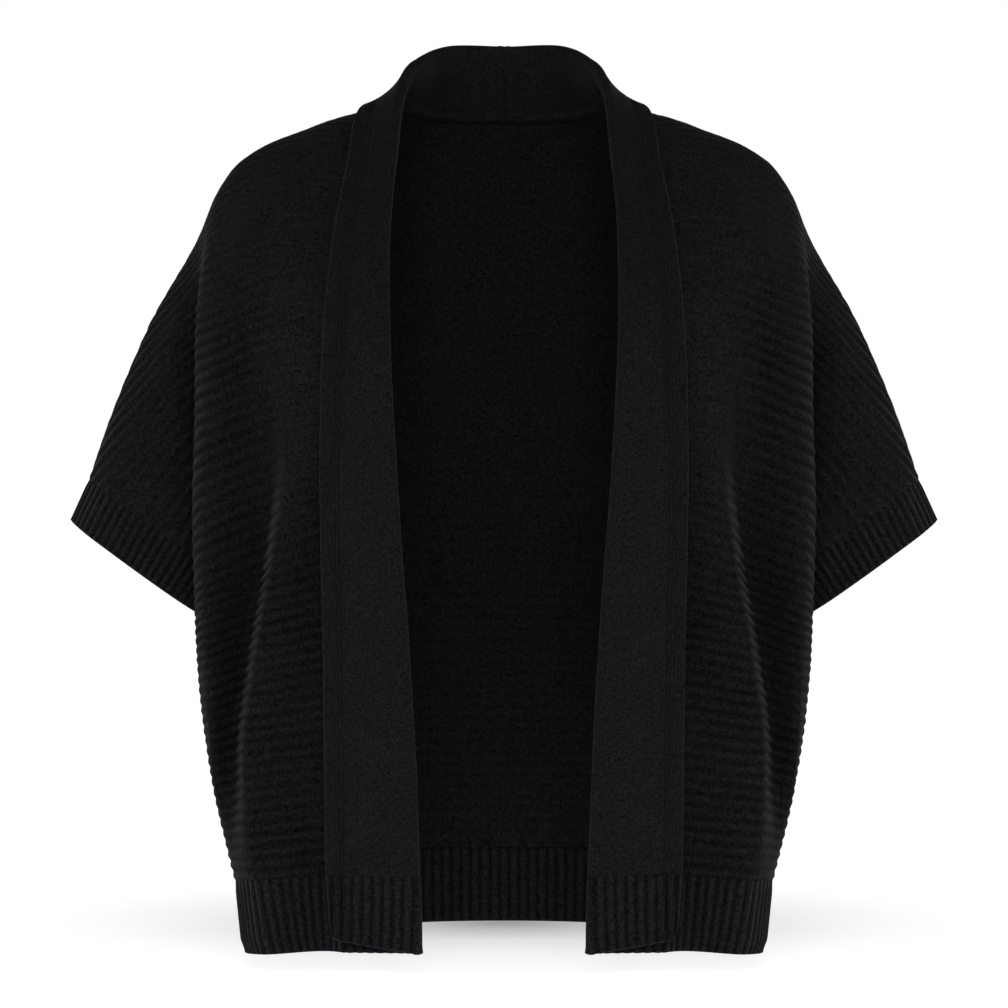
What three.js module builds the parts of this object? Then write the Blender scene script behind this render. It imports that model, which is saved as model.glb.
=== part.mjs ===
// Open-front cardigan with grown-on cape sleeves, worn shape, nobody in it.
// Millimetres, +Z up, -Y is the front, +X the wearer's left. The origin lies midway between
// the shoulder points, where the wearer carries it.
import * as THREE from "three";

// ---- driving dimensions ----
const bodyWall = 3.0; // thickness of the ridged body knit
const bandWall = 2.8; // thickness of the plain band knit
const seamGap = 0.3; // clear distance between two pieces at a seam
const hemBottom = -620; // height of the lower edge at the front and back
const sideDrop = 13; // the lower edge hangs this much deeper at the sides
const hemTaper = 0.965; // the rib draws the lower edge in
const ribPitch = 9; // one rib and one furrow of hem and cuffs
const ribHeight = 1.2; // how far a rib stands out
const ribLean = 8; // the front hem ribs swing this far towards the centre
const cuffTaper = 0.948; // the rib draws the cuff edge in
const foldRadius = 1.7; // hollow radius inside the turned edge of the band
const lapelRise = 10; // the free edge of the band ends this much above the lower edge
const borderRibs = 3; // narrow ribs along the free edge of the band
const borderPitch = 5; // their spacing
const borderHeight = 0.8; // how far they stand out
const stepsPerLevel = 3; // wall rows between two levels of the tables
const stepsPerColumn = 2; // wall columns between two lines of the tables
const armAxis = new THREE.Vector3(0.586, 0, -0.81); // down the sleeve, wearer's left
const cuffInner = new THREE.Vector3(205.5, 0, -354); // underarm point, where side seam meets cuff
const cuffOuter = new THREE.Vector3(224.6, 0, -380.5); // the same corner at the cuff's edge

// ---- the cloth, wearer's left half ----
// A row is one level from the hem rib up to the shoulder seam. A column is a line down the cloth:
//   edge   seam to the band          chest  flat of the front
//   crest  second hanging fold       recess hollow beside it
//   flank  cloth between the folds   drape  outer hanging fold, over the arm
//   valley hollow behind the drape   sleeve middle of the sleeve
//   end    side seam up to the underarm (level 3), then the cuff seam
// Each entry is [out from the centre line, depth, height].
const frontLevels = [
  { edge: [116, -112, -565], chest: [126, -102, -566], crest: [177, -105, -570], recess: [192, -80, -573],
    flank: [197.5, -52, -575], drape: [199, -27, -576], valley: [199.5, -15, -577],
    sleeve: [200, -8, -577], end: [200, 0, -577] },
  { edge: [116, -114, -478], chest: [126, -103, -479], crest: [187, -99, -481], recess: [201, -60, -484],
    flank: [212, -65, -486], drape: [217.5, -44, -487], valley: [218, -22, -488],
    sleeve: [213, -8, -488], end: [210, 0, -488] },
  { edge: [116, -116, -398], chest: [126, -105, -400], crest: [176.5, -107, -405], recess: [191, -64, -409],
    flank: [214, -80, -414], drape: [225, -56, -418], valley: [222, -28, -420],
    sleeve: [213, -10, -421], end: [207, 0, -421] },
  { edge: [116, -118, -325], chest: [127, -109, -327], crest: [163, -113, -334], recess: [178.5, -73, -341],
    flank: [215, -92, -350], drape: [227, -64, -358], valley: [216, -32, -360],
    sleeve: [207, -12, -363], end: [205.5, 0, -354] },
  { edge: [116, -119, -250], chest: [127, -116, -252], crest: [152, -115, -258], recess: [172, -90, -268],
    flank: [213, -99, -288], drape: [228, -70, -302], valley: [214, -34, -312],
    sleeve: [222, -34, -330], end: [221.3, -27, -342.6] },
  { edge: [115, -112, -170], chest: [129, -112, -172], crest: [156, -109, -178], recess: [180, -96, -190],
    flank: [208, -98, -211], drape: [226.5, -67, -230], valley: [219, -37, -244],
    sleeve: [235, -41, -285], end: [247.5, -37, -323.6] },
  { edge: [113, -78, -95], chest: [139, -84, -98], crest: [163, -86, -107], recess: [186, -82, -122],
    flank: [205, -75, -138], drape: [226.5, -52, -158], valley: [224, -33, -170],
    sleeve: [247, -39, -220], end: [274.8, -36, -303.8] },
  { edge: [107, -40, -42], chest: [135, -47, -45], crest: [161, -49, -54], recess: [183, -45, -67],
    flank: [202, -39, -82], drape: [221, -30, -102], valley: [226, -25, -115],
    sleeve: [254, -27, -180], end: [297, -25, -288] },
  { edge: [92, 19, 3], chest: [121, 10, -6], crest: [151, 6, -17], recess: [180, 3, -28.7],
    flank: [200, 1, -42.5], drape: [214.5, 0, -63], valley: [228, 0, -95],
    sleeve: [263, 0, -158], end: [310.5, 0, -278] },
];

// The back has two more lines inside the others: centre and blade. Its folds are softer.
const backLevels = [
  { centre: [0, 113, -565], blade: [60, 111, -565], edge: [114, 103, -566], chest: [150, 88, -568],
    crest: [178, 64, -571], recess: [188, 48, -573], flank: [195, 34, -575], drape: [198.5, 20, -576],
    valley: [199.5, 12, -577], sleeve: [200, 6, -577], end: [200, 0, -577] },
  { centre: [0, 115, -478], blade: [60, 113, -478], edge: [116, 106, -479], chest: [153, 94, -480],
    crest: [186, 76, -482], recess: [198, 60, -484], flank: [209, 49, -486], drape: [216, 33, -487],
    valley: [216, 18, -488], sleeve: [212.5, 8, -488], end: [210, 0, -488] },
  { centre: [0, 116, -398], blade: [60, 115, -398], edge: [114, 110, -400], chest: [150, 101, -403],
    crest: [179, 90, -408], recess: [198, 72, -412], flank: [212, 62, -416], drape: [223, 42, -419],
    valley: [220, 23, -421], sleeve: [212.5, 10, -421], end: [207, 0, -421] },
  { centre: [0, 116, -325], blade: [58, 115, -326], edge: [112, 111, -328], chest: [146, 103, -332],
    crest: [171, 96, -339], recess: [193, 80, -346], flank: [210, 70, -352], drape: [223.5, 47, -358],
    valley: [215, 27, -360], sleeve: [207, 12, -363], end: [205.5, 0, -354] },
  { centre: [0, 115, -250], blade: [57, 114, -251], edge: [111, 110, -254], chest: [143, 104, -259],
    crest: [168, 97, -267], recess: [190, 85, -279], flank: [208, 74, -291], drape: [224, 51, -304],
    valley: [214, 31, -314], sleeve: [222, 33, -330], end: [221.3, 27, -342.6] },
  { centre: [0, 112, -170], blade: [56, 112, -171], edge: [110, 108, -174], chest: [141, 102, -179],
    crest: [165, 95, -188], recess: [188, 86, -200], flank: [207, 76, -214], drape: [223, 54, -231],
    valley: [219, 36, -245], sleeve: [235, 40, -285], end: [247.5, 37, -323.6] },
  { centre: [0, 100, -95], blade: [56, 101, -96], edge: [107, 95, -99], chest: [137, 89, -104],
    crest: [162, 82, -113], recess: [185, 74, -126], flank: [204, 65, -141], drape: [223, 49, -160],
    valley: [225, 36, -172], sleeve: [247, 39, -220], end: [274.8, 36, -303.8] },
  { centre: [0, 85, -40], blade: [54, 83, -40], edge: [100, 63, -41], chest: [131, 55, -46],
    crest: [158, 50, -57], recess: [182, 43, -70], flank: [201, 36, -84], drape: [220, 29, -103],
    valley: [226, 26, -116], sleeve: [254, 27, -180], end: [297, 25, -288] },
  { centre: [0, 72, -4], blade: [52, 62, -3], edge: [92, 19, 3], chest: [121, 10, -6],
    crest: [151, 6, -17], recess: [180, 3, -28.7], flank: [200, 1, -42.5], drape: [214.5, 0, -63],
    valley: [228, 0, -95], sleeve: [263, 0, -158], end: [310.5, 0, -278] },
];
const underarmLevel = 3;

// The band turns outwards along its fold and lies over itself. A row is a station: the levels of the
// front from the lower edge up, then the shoulder, the side and the middle of the back neck. sag bows
// the band towards the neck.
const bandStations = [
  { fold: [59.5, -120, -620], free: [124.7, -113.5, -620], sag: 0 },
  { fold: [60.5, -120, -565], free: [127.7, -113.5, -565], sag: 0 },
  { fold: [63.5, -121.5, -478], free: [128.7, -116, -478], sag: 0 },
  { fold: [68, -123, -398], free: [129.7, -118.5, -398], sag: 0 },
  { fold: [73.5, -124.5, -325], free: [131.2, -120, -326], sag: 0 },
  { fold: [78.5, -125, -250], free: [131.7, -122, -251], sag: 0 },
  { fold: [82, -117, -170], free: [129.7, -117, -172], sag: 0 },
  { fold: [82.5, -82, -95], free: [123.2, -88, -99], sag: 0 },
  { fold: [79, -45, -42], free: [115.7, -52, -50], sag: 1 },
  { fold: [66, 12, 34], free: [103.2, 17, 2.5], sag: 5 },
  { fold: [44, 47, 51.5], free: [57, 74, -15], sag: 3 },
  { fold: [0, 61, 53], free: [0, 83, -16], sag: 2 },
];
const neckStation = 9; // the station at the shoulder seam
const foldNeck = 1 + (neckStation - 1) * stepsPerLevel; // its place among the seam points

// ---- curves ----
const vec = (entry) => new THREE.Vector3(...entry);

// Point on a smooth curve through points, between points[i] and points[i + 1]. before and after
// are the neighbours beyond the ends, so that two panels run on into each other.
function onCurve(points, i, t, before = null, after = null) {
  const a = points[i];
  const b = points[i + 1];
  const prev = i > 0 ? points[i - 1] : before;
  const next = i + 2 < points.length ? points[i + 2] : after;
  const span = a.distanceTo(b);
  const slope = (p, q, r) => {
    const first = q.clone().sub(p).divideScalar(p.distanceTo(q));
    const second = r.clone().sub(q).divideScalar(q.distanceTo(r));
    const w = p.distanceTo(q) / (p.distanceTo(q) + q.distanceTo(r));
    return second.multiplyScalar(w).add(first.multiplyScalar(1 - w));
  };
  const straight = b.clone().sub(a).divideScalar(span);
  const m0 = prev ? slope(prev, a, b) : null;
  const m1 = next ? slope(a, b, next) : null;
  const start = m0 || (m1 ? straight.clone().multiplyScalar(2).sub(m1) : straight);
  const finish = m1 || (m0 ? straight.clone().multiplyScalar(2).sub(m0) : straight);
  const s = t * t;
  const c = s * t;
  return a.clone().multiplyScalar(2 * c - 3 * s + 1)
    .add(start.clone().multiplyScalar((c - 2 * s + t) * span))
    .add(b.clone().multiplyScalar(3 * s - 2 * c))
    .add(finish.clone().multiplyScalar((c - s) * span));
}

// Every point of a curve, with the same number of steps in each span.
function sampleCurve(points, steps, before = null, after = null) {
  const out = [];
  for (let i = 0; i + 1 < points.length; i++)
    for (let k = 0; k < steps; k++) out.push(onCurve(points, i, k / steps, before, after));
  out.push(points[points.length - 1].clone());
  return out;
}

// A line of the tables from the hem rib to the shoulder seam. It runs on over the shoulder into the
// other panel, except at the neck. The end line has a corner at the underarm point.
function lineUp(levels, other, name) {
  const points = levels.map((level) => vec(level[name]));
  const joins = !["centre", "blade", "edge"].includes(name);
  const over = joins ? vec(other[other.length - 2][name]) : null;
  if (name !== "end") return sampleCurve(points, stepsPerLevel, null, over);
  const below = sampleCurve(points.slice(0, underarmLevel + 1), stepsPerLevel);
  const round = vec(other[underarmLevel + 1][name]);
  const above = sampleCurve(points.slice(underarmLevel), stepsPerLevel, round, over);
  return below.concat(above.slice(1));
}

// The outer face of a panel as rows of points, from its first line out to the side and cuff.
function panelRows(levels, other) {
  const lines = Object.keys(levels[0]).map((name) => lineUp(levels, other, name));
  const beyond = lineUp(other, levels, "sleeve");
  return lines[0].map((_, row) => {
    const points = lines.map((line) => line[row]);
    const after = row < lines[0].length - 1 ? beyond[row] : null;
    return sampleCurve(points, stepsPerColumn, null, after);
  });
}

const frontRows = panelRows(frontLevels, backLevels);
const backHalf = panelRows(backLevels, frontLevels);
const topRow = frontRows.length - 1;
const backExtra = 2 * stepsPerColumn; // columns of the back inside the front's first
frontRows[topRow].forEach((point, i) => backHalf[topRow][i + backExtra].copy(point));

// ---- the band ----
// Seam points of the band: the front's edge, then the back neck, to the centre.
const seamUp = frontRows.map((row) => row[0]);
const seamRound = backHalf[topRow].slice(0, backExtra).reverse();
const seamFoot = seamUp[0].clone().setZ(hemBottom);
const seamLine = [seamFoot, ...seamUp, ...seamRound];

// The fold and free lines, in step with the seam points.
function stationLine(pick) {
  const points = bandStations.map(pick);
  const mirror = (p) => new THREE.Vector3(-p.x, p.y, p.z);
  const after = mirror(points[points.length - 2]);
  const out = [points[0].clone()];
  for (let i = 1; i + 1 < points.length; i++) {
    const steps = i < neckStation ? stepsPerLevel : stepsPerColumn;
    for (let k = 0; k < steps; k++) out.push(onCurve(points, i, k / steps, null, after));
  }
  out.push(points[points.length - 1].clone());
  return out;
}
const foldLine = stationLine((station) => vec(station.fold));
const freeLine = stationLine((station) => vec(station.free));
const sagLine = foldLine.map((_, i) => {
  const low = i < foldNeck;
  const s = low ? 1 + (i - 1) / stepsPerLevel : neckStation + (i - foldNeck) / stepsPerColumn;
  const k = Math.min(Math.max(Math.floor(s), 0), bandStations.length - 2);
  return THREE.MathUtils.lerp(bandStations[k].sag, bandStations[k + 1].sag, s - k);
});

// One section of the band's under face, from the seam over the fold to the free edge. standCuts
// and fallCuts say where along the two flats its points lie.
function bandSection(i, standCuts, fallCuts) {
  const fold = foldLine[i];
  const before = foldLine[Math.max(i - 1, 0)];
  const next = foldLine[Math.min(i + 1, foldLine.length - 1)];
  const along = next.clone().sub(before).normalize();
  if (i <= 1) along.set(0, 0, 1);
  if (i === foldLine.length - 1) along.set(-1, 0, 0);
  const across = seamLine[i].clone().sub(fold);
  across.addScaledVector(along, -across.dot(along)).normalize();
  const outward = across.clone().cross(along);
  const centre = fold.clone().addScaledVector(across, foldRadius + bandWall);
  const standEnd = centre.clone().addScaledVector(outward, -foldRadius);
  const fallStart = centre.clone().addScaledVector(outward, foldRadius);
  const bow = (t) => 4 * t * (1 - t) * sagLine[i];
  const points = standCuts.map((t) =>
    seamLine[i].clone().lerp(standEnd, t).addScaledVector(outward, -bow(t)));
  for (const angle of [45, 90, 135]) {
    const a = THREE.MathUtils.degToRad(angle);
    points.push(centre.clone().addScaledVector(outward, -foldRadius * Math.cos(a))
      .addScaledVector(across, -foldRadius * Math.sin(a)));
  }
  fallCuts.forEach((t) =>
    points.push(fallStart.clone().lerp(freeLine[i], t).addScaledVector(outward, -bow(t))));
  return points;
}

// ---- walls ----
// Unit normals of rows of points. wrap closes the rows into rings.
function normalsOf(rows, wrap = false) {
  const width = rows[0].length;
  return rows.map((row, r) => row.map((_, c) => {
    const left = wrap ? row[(c - 1 + width) % width] : row[Math.max(c - 1, 0)];
    const right = wrap ? row[(c + 1) % width] : row[Math.min(c + 1, width - 1)];
    const below = rows[Math.max(r - 1, 0)][c];
    const above = rows[Math.min(r + 1, rows.length - 1)][c];
    return right.clone().sub(left).cross(above.clone().sub(below)).normalize();
  }));
}

// Moves the rim points of rows of points inwards by half the seam gap.
function insetRim(rows, sides) {
  const step = seamGap / 2;
  const last = rows[0].length - 1;
  const move = (from, to) => from.add(to.clone().sub(from).setLength(step));
  if (sides.includes("bottom")) rows[0].forEach((p, c) => move(p, rows[1][c]));
  if (sides.includes("top")) rows[rows.length - 1].forEach((p, c) => move(p, rows[rows.length - 2][c]));
  if (sides.includes("first")) rows.forEach((row) => move(row[0], row[1]));
  if (sides.includes("last")) rows.forEach((row) => move(row[last], row[last - 1]));
}

// Does the same for a panel: its last points draw back from the side seam below the underarm, and
// up the arm from the cuff. side is 1 for the wearer's left half.
function insetPanel(rows, column, side) {
  const step = seamGap / 2;
  const up = new THREE.Vector3(-side * armAxis.x, 0, -armAxis.z).multiplyScalar(step);
  const inward = column > 0 ? column - 1 : 1;
  rows.forEach((row, r) => {
    if (r >= underarmLevel * stepsPerLevel) row[column].add(up);
    else row[column].add(row[inward].clone().sub(row[column]).setLength(step));
  });
}

// A closed wall between two faces given as rows of points, as one geometry.
function wallBetween(outer, inner, wrap = false) {
  const height = outer.length;
  const width = outer[0].length;
  const positions = [];
  for (const face of [outer, inner])
    for (const row of face) for (const p of row) positions.push(p.x, p.y, p.z);
  const at = (face, r, c) => face * height * width + r * width + (c % width);
  const index = [];
  const quad = (a, b, c, d) => index.push(a, b, c, a, c, d);
  const columns = wrap ? width : width - 1;
  for (let r = 0; r + 1 < height; r++)
    for (let c = 0; c < columns; c++) {
      quad(at(0, r, c), at(0, r, c + 1), at(0, r + 1, c + 1), at(0, r + 1, c));
      quad(at(1, r, c), at(1, r + 1, c), at(1, r + 1, c + 1), at(1, r, c + 1));
    }
  for (let c = 0; c < columns; c++) {
    quad(at(1, 0, c), at(1, 0, c + 1), at(0, 0, c + 1), at(0, 0, c));
    quad(at(0, height - 1, c), at(0, height - 1, c + 1), at(1, height - 1, c + 1), at(1, height - 1, c));
  }
  if (!wrap)
    for (let r = 0; r + 1 < height; r++) {
      quad(at(0, r, 0), at(0, r + 1, 0), at(1, r + 1, 0), at(1, r, 0));
      quad(at(1, r, width - 1), at(1, r + 1, width - 1), at(0, r + 1, width - 1), at(0, r, width - 1));
    }
  const geometry = new THREE.BufferGeometry();
  geometry.setAttribute("position", new THREE.Float32BufferAttribute(positions, 3));
  geometry.setIndex(index);
  return geometry;
}

// Flips a geometry whose faces point inwards.
function facingOut(geometry) {
  const p = geometry.getAttribute("position");
  const index = Array.from(geometry.getIndex().array);
  const corner = [0, 1, 2].map(() => new THREE.Vector3());
  let volume = 0;
  for (let i = 0; i < index.length; i += 3) {
    corner.forEach((v, k) => v.fromBufferAttribute(p, index[i + k]));
    volume += corner[0].dot(corner[1].clone().cross(corner[2]));
  }
  if (volume < 0)
    for (let i = 0; i < index.length; i += 3) [index[i + 1], index[i + 2]] = [index[i + 2], index[i + 1]];
  geometry.setIndex(index);
  return geometry;
}

const copyRows = (rows) => rows.map((row) => row.map((p) => p.clone()));
const mirrorRows = (rows) => rows.map((row) => row.map((p) => new THREE.Vector3(-p.x, p.y, p.z)));

// The inner face of a wall: its outer points moved in against their normals.
const insideOf = (rows, normals, thickness) =>
  rows.map((row, r) => row.map((p, c) => p.clone().addScaledVector(normals[r][c], -thickness)));

// ---- materials ----
const ridgeKnit = new THREE.MeshStandardMaterial({ color: 0x17181b, roughness: 0.95, metalness: 0 });
const plainKnit = new THREE.MeshStandardMaterial({ color: 0x1b1c1f, roughness: 0.95, metalness: 0 });
const ribKnit = new THREE.MeshStandardMaterial({ color: 0x151619, roughness: 0.95, metalness: 0 });

const cardigan = new THREE.Group();
function addPiece(name, outer, inner, material, wrap = false) {
  const mesh = new THREE.Mesh(facingOut(wallBetween(outer, inner, wrap)), material);
  mesh.name = name;
  cardigan.add(mesh);
}

// Adds a piece and its mirror image on the other side.
function addPair(name, outer, inner, material, wrap = false) {
  addPiece(`${name}_left`, outer, inner, material, wrap);
  addPiece(`${name}_right`, mirrorRows(outer), mirrorRows(inner), material, wrap);
}

// ---- body panels ----
// Normals that two panels share along the shoulder and side seams are averaged. Along the hem they
// are level, and along the cuff square to the arm, so that those seams stay flat.
function panelNormals() {
  const front = normalsOf(frontRows);
  const back = normalsOf(backHalf).map((row) => row.map((n) => n.negate()));
  const join = (a, b) => {
    a.add(b).normalize();
    b.copy(a);
  };
  front[topRow].forEach((n, c) => join(n, back[topRow][c + backExtra]));
  const lastFront = frontRows[0].length - 1;
  const lastBack = backHalf[0].length - 1;
  const underarmRow = underarmLevel * stepsPerLevel;
  for (let r = 0; r <= underarmRow; r++) join(front[r][lastFront], back[r][lastBack]);
  for (let r = underarmRow + 1; r <= topRow; r++)
    for (const n of [front[r][lastFront], back[r][lastBack]])
      n.addScaledVector(armAxis, -n.dot(armAxis)).normalize();
  for (const n of [...front[0], ...back[0]]) n.setZ(0).normalize();
  back.forEach((row) => row[0].setX(0).normalize());
  return { front, back };
}

const normals = panelNormals();

// ---- band ----
const standCuts = [0, 1 / 3, 2 / 3, 1];
const borderWidth = borderRibs * borderPitch;

// Cuts of the fall: even steps, then a crest and a furrow for each border rib up to the free edge.
function fallCutsFor(width) {
  const plain = 1 - borderWidth / width;
  const cuts = [0, plain / 3, (2 * plain) / 3];
  for (let k = 0; k <= 2 * borderRibs; k++)
    cuts.push(plain + (k * borderPitch) / (2 * width));
  return cuts;
}
const fallWidth = (i) => foldLine[i].distanceTo(freeLine[i]);
const bandRows = foldLine.map((_, i) => bandSection(i, standCuts, fallCutsFor(fallWidth(i))));
const bandBody = bandRows.slice(1);
const bandNormals = normalsOf(bandBody).map((row) => row.map((n) => n.negate()));

// The band shares the normals of the panels along its seam, and stays level where its rib starts.
const panelSeamNormals = [
  ...normals.front.map((row) => row[0]),
  ...normals.back[topRow].slice(0, backExtra).reverse(),
];
bandNormals.forEach((row, i) => {
  row[0].add(panelSeamNormals[i]).normalize();
  panelSeamNormals[i].copy(row[0]);
});
normals.back[topRow][backExtra].copy(normals.front[topRow][0]);
bandNormals[0].forEach((n) => n.setZ(0).normalize());
bandNormals[bandNormals.length - 1].forEach((n) => n.setX(0).normalize());

const bandInner = insideOf(bandBody, bandNormals, bandWall);
const firstBorder = bandBody[0].length - 2 * borderRibs - 1;
bandInner.forEach((row, r) => {
  for (let k = 1; k < 2 * borderRibs; k += 2)
    row[firstBorder + k].addScaledVector(bandNormals[r][firstBorder + k], -borderHeight);
});
for (const face of [bandBody, bandInner]) insetRim(face, ["bottom", "top", "first"]);
addPair("band", bandBody, bandInner, plainKnit);

// ---- panels as walls ----
const frontInner = insideOf(frontRows, normals.front, bodyWall);
const backInner = insideOf(backHalf, normals.back, bodyWall);
const wholeBack = (rows) => rows.map((row) => {
  const far = row.slice(1).reverse().map((p) => new THREE.Vector3(-p.x, p.y, p.z));
  return far.concat(row.map((p) => p.clone()));
});
const frontOuter = copyRows(frontRows);
for (const face of [frontOuter, frontInner]) {
  insetPanel(face, face[0].length - 1, 1);
  insetRim(face, ["bottom", "top", "first"]);
}
addPair("front", frontOuter, frontInner, ridgeKnit);

const backOuterWhole = wholeBack(backHalf);
const backInnerWhole = wholeBack(backInner);
for (const face of [backOuterWhole, backInnerWhole]) {
  insetPanel(face, 0, -1);
  insetPanel(face, face[0].length - 1, 1);
  insetRim(face, ["bottom", "top"]);
}
addPiece("back", backOuterWhole, backInnerWhole, ridgeKnit);

// ---- ribs ----
// Points along a polyline at even distances.
function evenPoints(line, count, closed = false) {
  const points = closed ? [...line, line[0]] : line;
  const reach = [0];
  for (let i = 1; i < points.length; i++) reach.push(reach[i - 1] + points[i].distanceTo(points[i - 1]));
  const total = reach[reach.length - 1];
  const out = [];
  for (let k = 0; k < (closed ? count : count + 1); k++) {
    const want = (total * k) / count;
    let i = 1;
    while (i < points.length - 1 && reach[i] < want) i++;
    const t = (want - reach[i - 1]) / (reach[i] - reach[i - 1]);
    out.push(points[i - 1].clone().lerp(points[i], t));
  }
  return out;
}
const lengthOf = (line) => line.reduce((sum, p, i) => (i ? sum + p.distanceTo(line[i - 1]) : 0), 0);

// Level normals of a row of points, pointing away from the centre of the body.
function levelNormals(row) {
  return row.map((p, i) => {
    const along = row[Math.min(i + 1, row.length - 1)].clone().sub(row[Math.max(i - 1, 0)]);
    const n = new THREE.Vector3(along.y, -along.x, 0).normalize();
    return n.dot(new THREE.Vector3(p.x, p.y, 0)) < 0 ? n.negate() : n;
  });
}

// A ribbed hem below a row of points. pull tells how far the lower edge is drawn in at a share of
// the row, lean how far the ribs swing.
function hemWall(name, topLine, pull, lean, endNormals, paired) {
  const ribs = Math.round(lengthOf(topLine) / ribPitch);
  const count = 2 * ribs;
  const top = evenPoints(topLine, count);
  const finePoints = evenPoints(topLine, count * 8);
  const swing = (t) => t + (lean / lengthOf(topLine)) * Math.sin(Math.PI * t);
  const bottom = top.map((_, k) => {
    const t = Math.min(Math.max(swing(k / count), 0), 1);
    const p = finePoints[Math.round(t * count * 8)].clone();
    const shrink = 1 - (1 - hemTaper) * pull(k / count);
    return new THREE.Vector3(p.x * shrink, p.y * shrink, hemBottom - sideDrop * pull(k / count) ** 2);
  });
  const base = [bottom, top];
  const sides = base.map(levelNormals);
  for (const row of sides) {
    if (endNormals.first) row[0].copy(endNormals.first);
    if (endNormals.last) row[row.length - 1].copy(endNormals.last);
  }
  const outer = base.map((row, r) => row.map((p, c) =>
    p.clone().addScaledVector(sides[r][c], c % 2 ? ribHeight : 0)));
  const inner = insideOf(base, sides, bodyWall);
  for (const face of [outer, inner]) insetRim(face, ["top", "first", "last"]);
  if (paired) addPair(name, outer, inner, ribKnit);
  else addPiece(name, outer, inner, ribKnit);
}
const sideways = new THREE.Vector3(1, 0, 0);
hemWall("hem_front", frontRows[0], (t) => t, -ribLean,
  { first: panelSeamNormals[0], last: sideways }, true);
hemWall("hem_back", wholeBack(backHalf)[0], (t) => Math.abs(2 * t - 1), 0,
  { first: sideways.clone().negate(), last: sideways }, false);

// Band hem: the ribbed foot of the band, fold and all.
function bandHem() {
  const standRibs = Math.round(seamLine[1].distanceTo(foldLine[1]) / ribPitch);
  const fallRibs = Math.round((fallWidth(1) - borderWidth) / ribPitch);
  const cuts = (count) => Array.from({ length: count + 1 }, (_, k) => k / count);
  const plain = 1 - borderWidth / fallWidth(1);
  const fallCuts = cuts(2 * fallRibs).map((t) => t * plain)
    .concat(cuts(2 * borderRibs).slice(1).map((t) => plain + t * (1 - plain)));
  const stand = cuts(2 * standRibs);
  const rows = [0, 1].map((i) => bandSection(i, stand, fallCuts));
  const fallStart = stand.length + 3;
  rows[0].forEach((p, c) => {
    if (c >= fallStart) p.z += lapelRise * fallCuts[c - fallStart];
  });
  const sides = normalsOf(rows).map((row) => row.map((n) => n.negate().setZ(0).normalize()));
  sides.forEach((row) => row[0].copy(panelSeamNormals[0]));
  const inner = insideOf(rows, sides, bandWall);
  const outer = copyRows(rows);
  for (let r = 0; r < 2; r++) {
    for (let c = 1; c < stand.length - 1; c += 2) outer[r][c].addScaledVector(sides[r][c], ribHeight / 2);
    for (let c = fallStart + 1; c < rows[r].length - 1; c += 2) {
      const border = c > fallStart + 2 * fallRibs;
      inner[r][c].addScaledVector(sides[r][c], border ? -borderHeight : -ribHeight);
    }
  }
  for (const face of [outer, inner]) insetRim(face, ["top", "first"]);
  addPair("band_hem", outer, inner, ribKnit);
}
bandHem();

// Cuff: a ribbed ring from the cuff seam down the arm. Its ribs die away towards the underarm.
function cuff() {
  const underarmRow = underarmLevel * stepsPerLevel;
  const frontEnd = frontRows.slice(underarmRow).map((row) => row[row.length - 1]);
  const backEnd = backHalf.slice(underarmRow + 1, topRow).map((row) => row[row.length - 1]).reverse();
  const loop = [...frontEnd, ...backEnd];
  const around = lengthOf([...loop, loop[0]]);
  const ribs = Math.round(around / ribPitch);
  const ring = evenPoints(loop, 2 * ribs, true);
  const edge = ring.map((p) => p.clone().sub(cuffInner).multiplyScalar(cuffTaper).add(cuffOuter));
  const middle = ring.reduce((sum, p) => sum.add(p), new THREE.Vector3()).divideScalar(ring.length);
  const sides = ring.map((p, i) => {
    const along = ring[(i + 1) % ring.length].clone().sub(ring[(i - 1 + ring.length) % ring.length]);
    const n = along.cross(armAxis).normalize();
    return n.dot(p.clone().sub(middle)) < 0 ? n.negate() : n;
  });
  const height = (i) => {
    const away = (Math.min(i, ring.length - i) * around) / ring.length;
    return (i % 2 ? ribHeight : 0) * THREE.MathUtils.clamp(away / (3 * ribPitch) - 0.5, 0, 1);
  };
  const base = [ring, edge];
  const outer = base.map((row) => row.map((p, i) => p.clone().addScaledVector(sides[i], height(i))));
  const inner = base.map((row) => row.map((p, i) => p.clone().addScaledVector(sides[i], -bodyWall)));
  for (const face of [outer, inner]) insetRim(face, ["bottom"]);
  addPair("cuff", outer, inner, ribKnit, true);
}
cuff();

export default cardigan;
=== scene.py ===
"""Open-front cardigan in ridged knit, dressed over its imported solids.

Every piece of cloth is a thin closed shell on the form of its solid. The body knit is laid out
along its own rows, so that its ridges are real relief; the single stitches are in the materials.
Sizes in the functions are millimetres, in the frame of the solids.
"""
import math

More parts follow.
